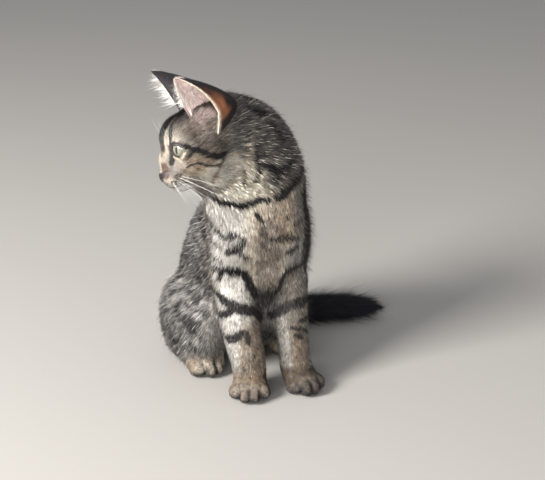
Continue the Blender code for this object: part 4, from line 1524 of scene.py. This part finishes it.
# Kinds of fur on an ear: how many places are tried, where up and across it, and on which side of its skin.
EAR_FUR = {
    "back": (13000, (-0.05, 0.985), (-0.99, 0.99), 1),
    "down": (6500, (0.05, 0.98), (-0.98, 0.98), -1),
    "fringe": (760, (0.26, 0.93), (-1.0, -0.78), -1),
    "fan": (900, (0.02, 0.75), (-1.0, 0.30), -1),
    "rim": (420, (-0.02, 0.30), (0.84, 1.0), -1),
}
# How wide and how steep the hairs of each kind are.
EAR_HAIR = {"back": (0.032, 12.0), "down": (0.018, 18.0), "fringe": (0.016, 6.0), "fan": (0.026, 11.0)}
EAR_HAIR["rim"] = (0.018, 9.0)
FRINGE_LONGER = {-1: 1.15, 1: 0.7}  # the fringe of the right ear is the longer


def ear_coat(side, s, material):
    """Short fur on the ear's back, down inside it, and long pale hairs out of its opening."""
    stand = ear_frame(s)
    sets = []
    for kind, (count, up_range, lateral_range, facing) in EAR_FUR.items():
        found = ear_places(s, count, up_range, lateral_range, facing)
        up, turn, surface, normal, along_up, round_it = found
        n = len(up)
        ground, dark = ear_colours(np.column_stack((up, turn, np.full(n, facing))), s)
        inward = round_it * np.where(s * turn < 0, 1.0, -1.0)[:, None] * s
        if kind == "back":
            way, length = along_up, np.full(n, 0.26)
        elif kind == "down":
            way, length = unit(along_up + 0.3 * inward), np.full(n, 0.22)
            ground = tint(ground, WHITE, 0.65 * RNG.random(n) * ramp(0.7, -0.5, s * turn))
        elif kind == "fringe":
            way = unit(0.35 * along_up + 0.25 * inward + (0.0, -1.0, 0.0) + RNG.normal(0, 0.20, (n, 3)))
            length = (RNG.uniform(0.3, 1.25, n) * ramp(1.08, 0.7, up) + 0.2) * FRINGE_LONGER[s]
        elif kind == "fan":
            way = unit(0.9 * along_up + 0.35 * inward + (0.0, -0.25, 0.0) + RNG.normal(0, 0.15, (n, 3)))
            length = RNG.uniform(0.5, 1.2, n)
        else:
            way = unit(-0.9 * along_up + 0.2 * inward + (0.0, -0.3, 0.0))
            length = RNG.uniform(0.5, 0.9, n)
        long = kind in ("fringe", "fan", "rim")
        if long:
            ground, dark = np.tile(WHITE * 0.95, (n, 1)), 0 * dark
            normal = laid(normal, way)
        else:
            way = laid(way, normal)
        island = 0.25 + (0.5 if facing < 0 else 0.0)  # each side of the ear has its own half of the map
        places = np.column_stack((island + 0.23 * turn, 0.05 + 0.9 * np.clip(up, 0, 1)))
        size = (length, *(np.full(n, value) for value in EAR_HAIR[kind]))
        colours = tuft_colours(ground, dark, np.zeros(n))
        lock = (0.12, 0.3) if long else LOOSE
        roots, normal, way = moved(surface, stand), turned(normal, stand), turned(way, stand)
        sets.append(tufts(roots, normal, way, size, colours, places, lock, long))
    return coat_object("coat_ear_" + side, sets, material)


# ---------------------------------------------------------------- whiskers


PAD_ROWS = (4, 4, 3)  # whiskers in each row of a whisker pad
BROW_WHISKERS = 3
PAD_THICK, BROW_THICK = 0.008, 0.006
WHISKER_ROOT = 0.25  # how deep a whisker starts


def whisker_paths():
    """Each whisker's root, way, length, droop, thickness and side."""
    for s in SIDES.values():
        for row, count in enumerate(PAD_ROWS):
            for place in range(count):
                root = (1.28 + 0.03 * place, -3.45 + 0.30 * place, -1.86 - 0.22 * row)
                way = unit(np.array((0.62 + 0.05 * row, 0.05 + 0.20 * place, -0.42 - 0.26 * row)))
                reach = 2.2 + 0.55 * place - 0.2 * row
                yield root, way, reach, (0.0, 0.30, -0.60), PAD_THICK, s
        for place in range(BROW_WHISKERS):
            root = (1.35 + 0.2 * place, -2.35 + 0.12 * place, 1.3)
            way = unit(np.array((0.35 + 0.2 * place, -0.25 + 0.3 * place, 1.0)))
            yield root, way, 1.9 - 0.3 * place, (0.2, 0.5, -0.1), BROW_THICK, s


def whiskers(material):
    """Long stiff hairs on the whisker pads and over the eyes, each tapering along a bend."""
    shapes, faces = [], []
    steps, sides = 10, 4
    around = (np.arange(sides) * 2 * np.pi / sides)[None, :, None]
    grid = np.arange(steps * sides).reshape(steps, sides)
    t = np.linspace(0, 1, steps)[:, None]
    for root, way, reach, droop, thick, s in whisker_paths():
        reach *= RNG.uniform(0.85, 1.1)
        line = np.array(root) - way * WHISKER_ROOT + way * (reach + WHISKER_ROOT) * t
        line = line + np.array(droop) * (reach * 0.28) * t**2
        line[:, 0] *= s
        ahead = unit(np.gradient(line, axis=0))
        side = unit(np.cross(ahead, (0.0, 0.3, 1.0)))
        up = np.cross(side, ahead)
        ring = side[:, None] * np.cos(around) + up[:, None] * np.sin(around)
        tube = line[:, None] + thick * (1 - 0.8 * t)[:, None] * ring
        shapes.append(moved(tube.reshape(-1, 3), HEAD))
        faces.append(np.vstack((wrapped_quads(grid), grid[:1, ::-1], grid[-1:])))
    obj = mesh_object("whiskers", to_world(np.vstack(shapes)), joined(shapes, faces))
    obj.data.materials.append(material)
    return obj


def whisker_material():
    """White, faintly uneven along each hair."""
    made, shader = material_with("whisker", 0.35, 0.5)
    place = add_node(made, "TexCoord").outputs["Object"]
    grain = add_node(made, "TexNoise", {"Vector": place, "Scale": 300.0}).outputs["Fac"]
    tone = colours_along(made, grain, [(0.0, (0.80, 0.77, 0.72)), (1.0, (0.92, 0.90, 0.87))])
    feed(made, shader, {"Base Color": tone})
    return made


# ---------------------------------------------------------------- stage


CAMERA_AT = (-0.3416, -1.0218, 0.5)
CAMERA_TURN, CAMERA_PITCH = 18.0, 19.8
FOCAL_LENGTH, SENSOR_WIDTH = 85.8716, 36.0  # millimetres
FLOOR_REACH = 15.0
FLOOR_COLOUR = (0.30, 0.288, 0.272, 1.0)
SURROUND_COLOUR, SURROUND_STRENGTH = (0.80, 0.82, 0.85, 1.0), 0.62
# Soft lights, aimed at the middle of the kitten: place, size, power and colour.
LIGHTS = {
    "key": ((-1.7, -0.65, 1.0), 0.8, 135.0, (1.0, 0.975, 0.94)),
    "front": ((-1.0, -2.0, 0.6), 1.0, 45.0, (1.0, 0.98, 0.95)),
}
LIT = Vector((0.0, 0.0, 0.12))


def put(obj, at, way):
    """Stands a camera or a light at a place, looking a way."""
    obj.location = at
    obj.rotation_euler = way.to_track_quat("-Z", "Y").to_euler()


def make_camera():
    """Looks down on the kitten from its right front."""
    yaw, pitch = math.radians(CAMERA_TURN), math.radians(CAMERA_PITCH)
    data = bpy.data.cameras.new("camera")
    data.sensor_width = SENSOR_WIDTH
    data.lens = FOCAL_LENGTH
    data.clip_start = 0.01
    camera = linked("camera", data)
    level = math.cos(pitch)
    put(camera, CAMERA_AT, Vector((math.sin(yaw) * level, math.cos(yaw) * level, -math.sin(pitch))))
    bpy.context.scene.camera = camera


def make_stage():
    """A plain pale floor, soft light from the kitten's right, and a pale surround."""
    corners = [(FLOOR_REACH * x, FLOOR_REACH * y, 0) for x, y in ((-1, -1), (1, -1), (1, 1), (-1, 1))]
    floor = mesh_object("floor", corners, [(0, 1, 2, 3)])
    plain, shader = material_with("floor", 0.7, 0.3)
    feed(plain, shader, {"Base Color": FLOOR_COLOUR})
    floor.data.materials.append(plain)
    for name, (at, size, power, colour) in LIGHTS.items():
        data = bpy.data.lights.new(name, "AREA")
        data.shape, data.size, data.energy, data.color = "SQUARE", size, power, colour
        put(linked(name, data), at, LIT - Vector(at))
    world = bpy.data.worlds.new("surround")
    world.use_nodes = True
    background = world.node_tree.nodes["Background"]
    background.inputs["Color"].default_value = SURROUND_COLOUR
    background.inputs["Strength"].default_value = SURROUND_STRENGTH
    bpy.context.scene.world = world
    bpy.context.scene.view_settings.view_transform = "Standard"


# ---------------------------------------------------------------- build


def dress(obj):
    """Every piece rides on the one body."""
    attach(obj, "root")


make_camera()
make_stage()
skin_object, skin_form = build_skin()
skin_object.data.materials.append(skin_material())
dress(skin_object)
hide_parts(*FLESH)
wet_eye = eye_material()
for side_name, sign in SIDES.items():
    ball = eyeball(side_name, sign, wet_eye)
    dress(ball)
    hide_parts("eye_" + side_name)
hair = coat_material("coat")
for piece in grow_coat(skin_form, hair):
    dress(piece)
for side_name, sign in SIDES.items():
    dress(ear_coat(side_name, sign, hair))
dress(whiskers(whisker_material()))
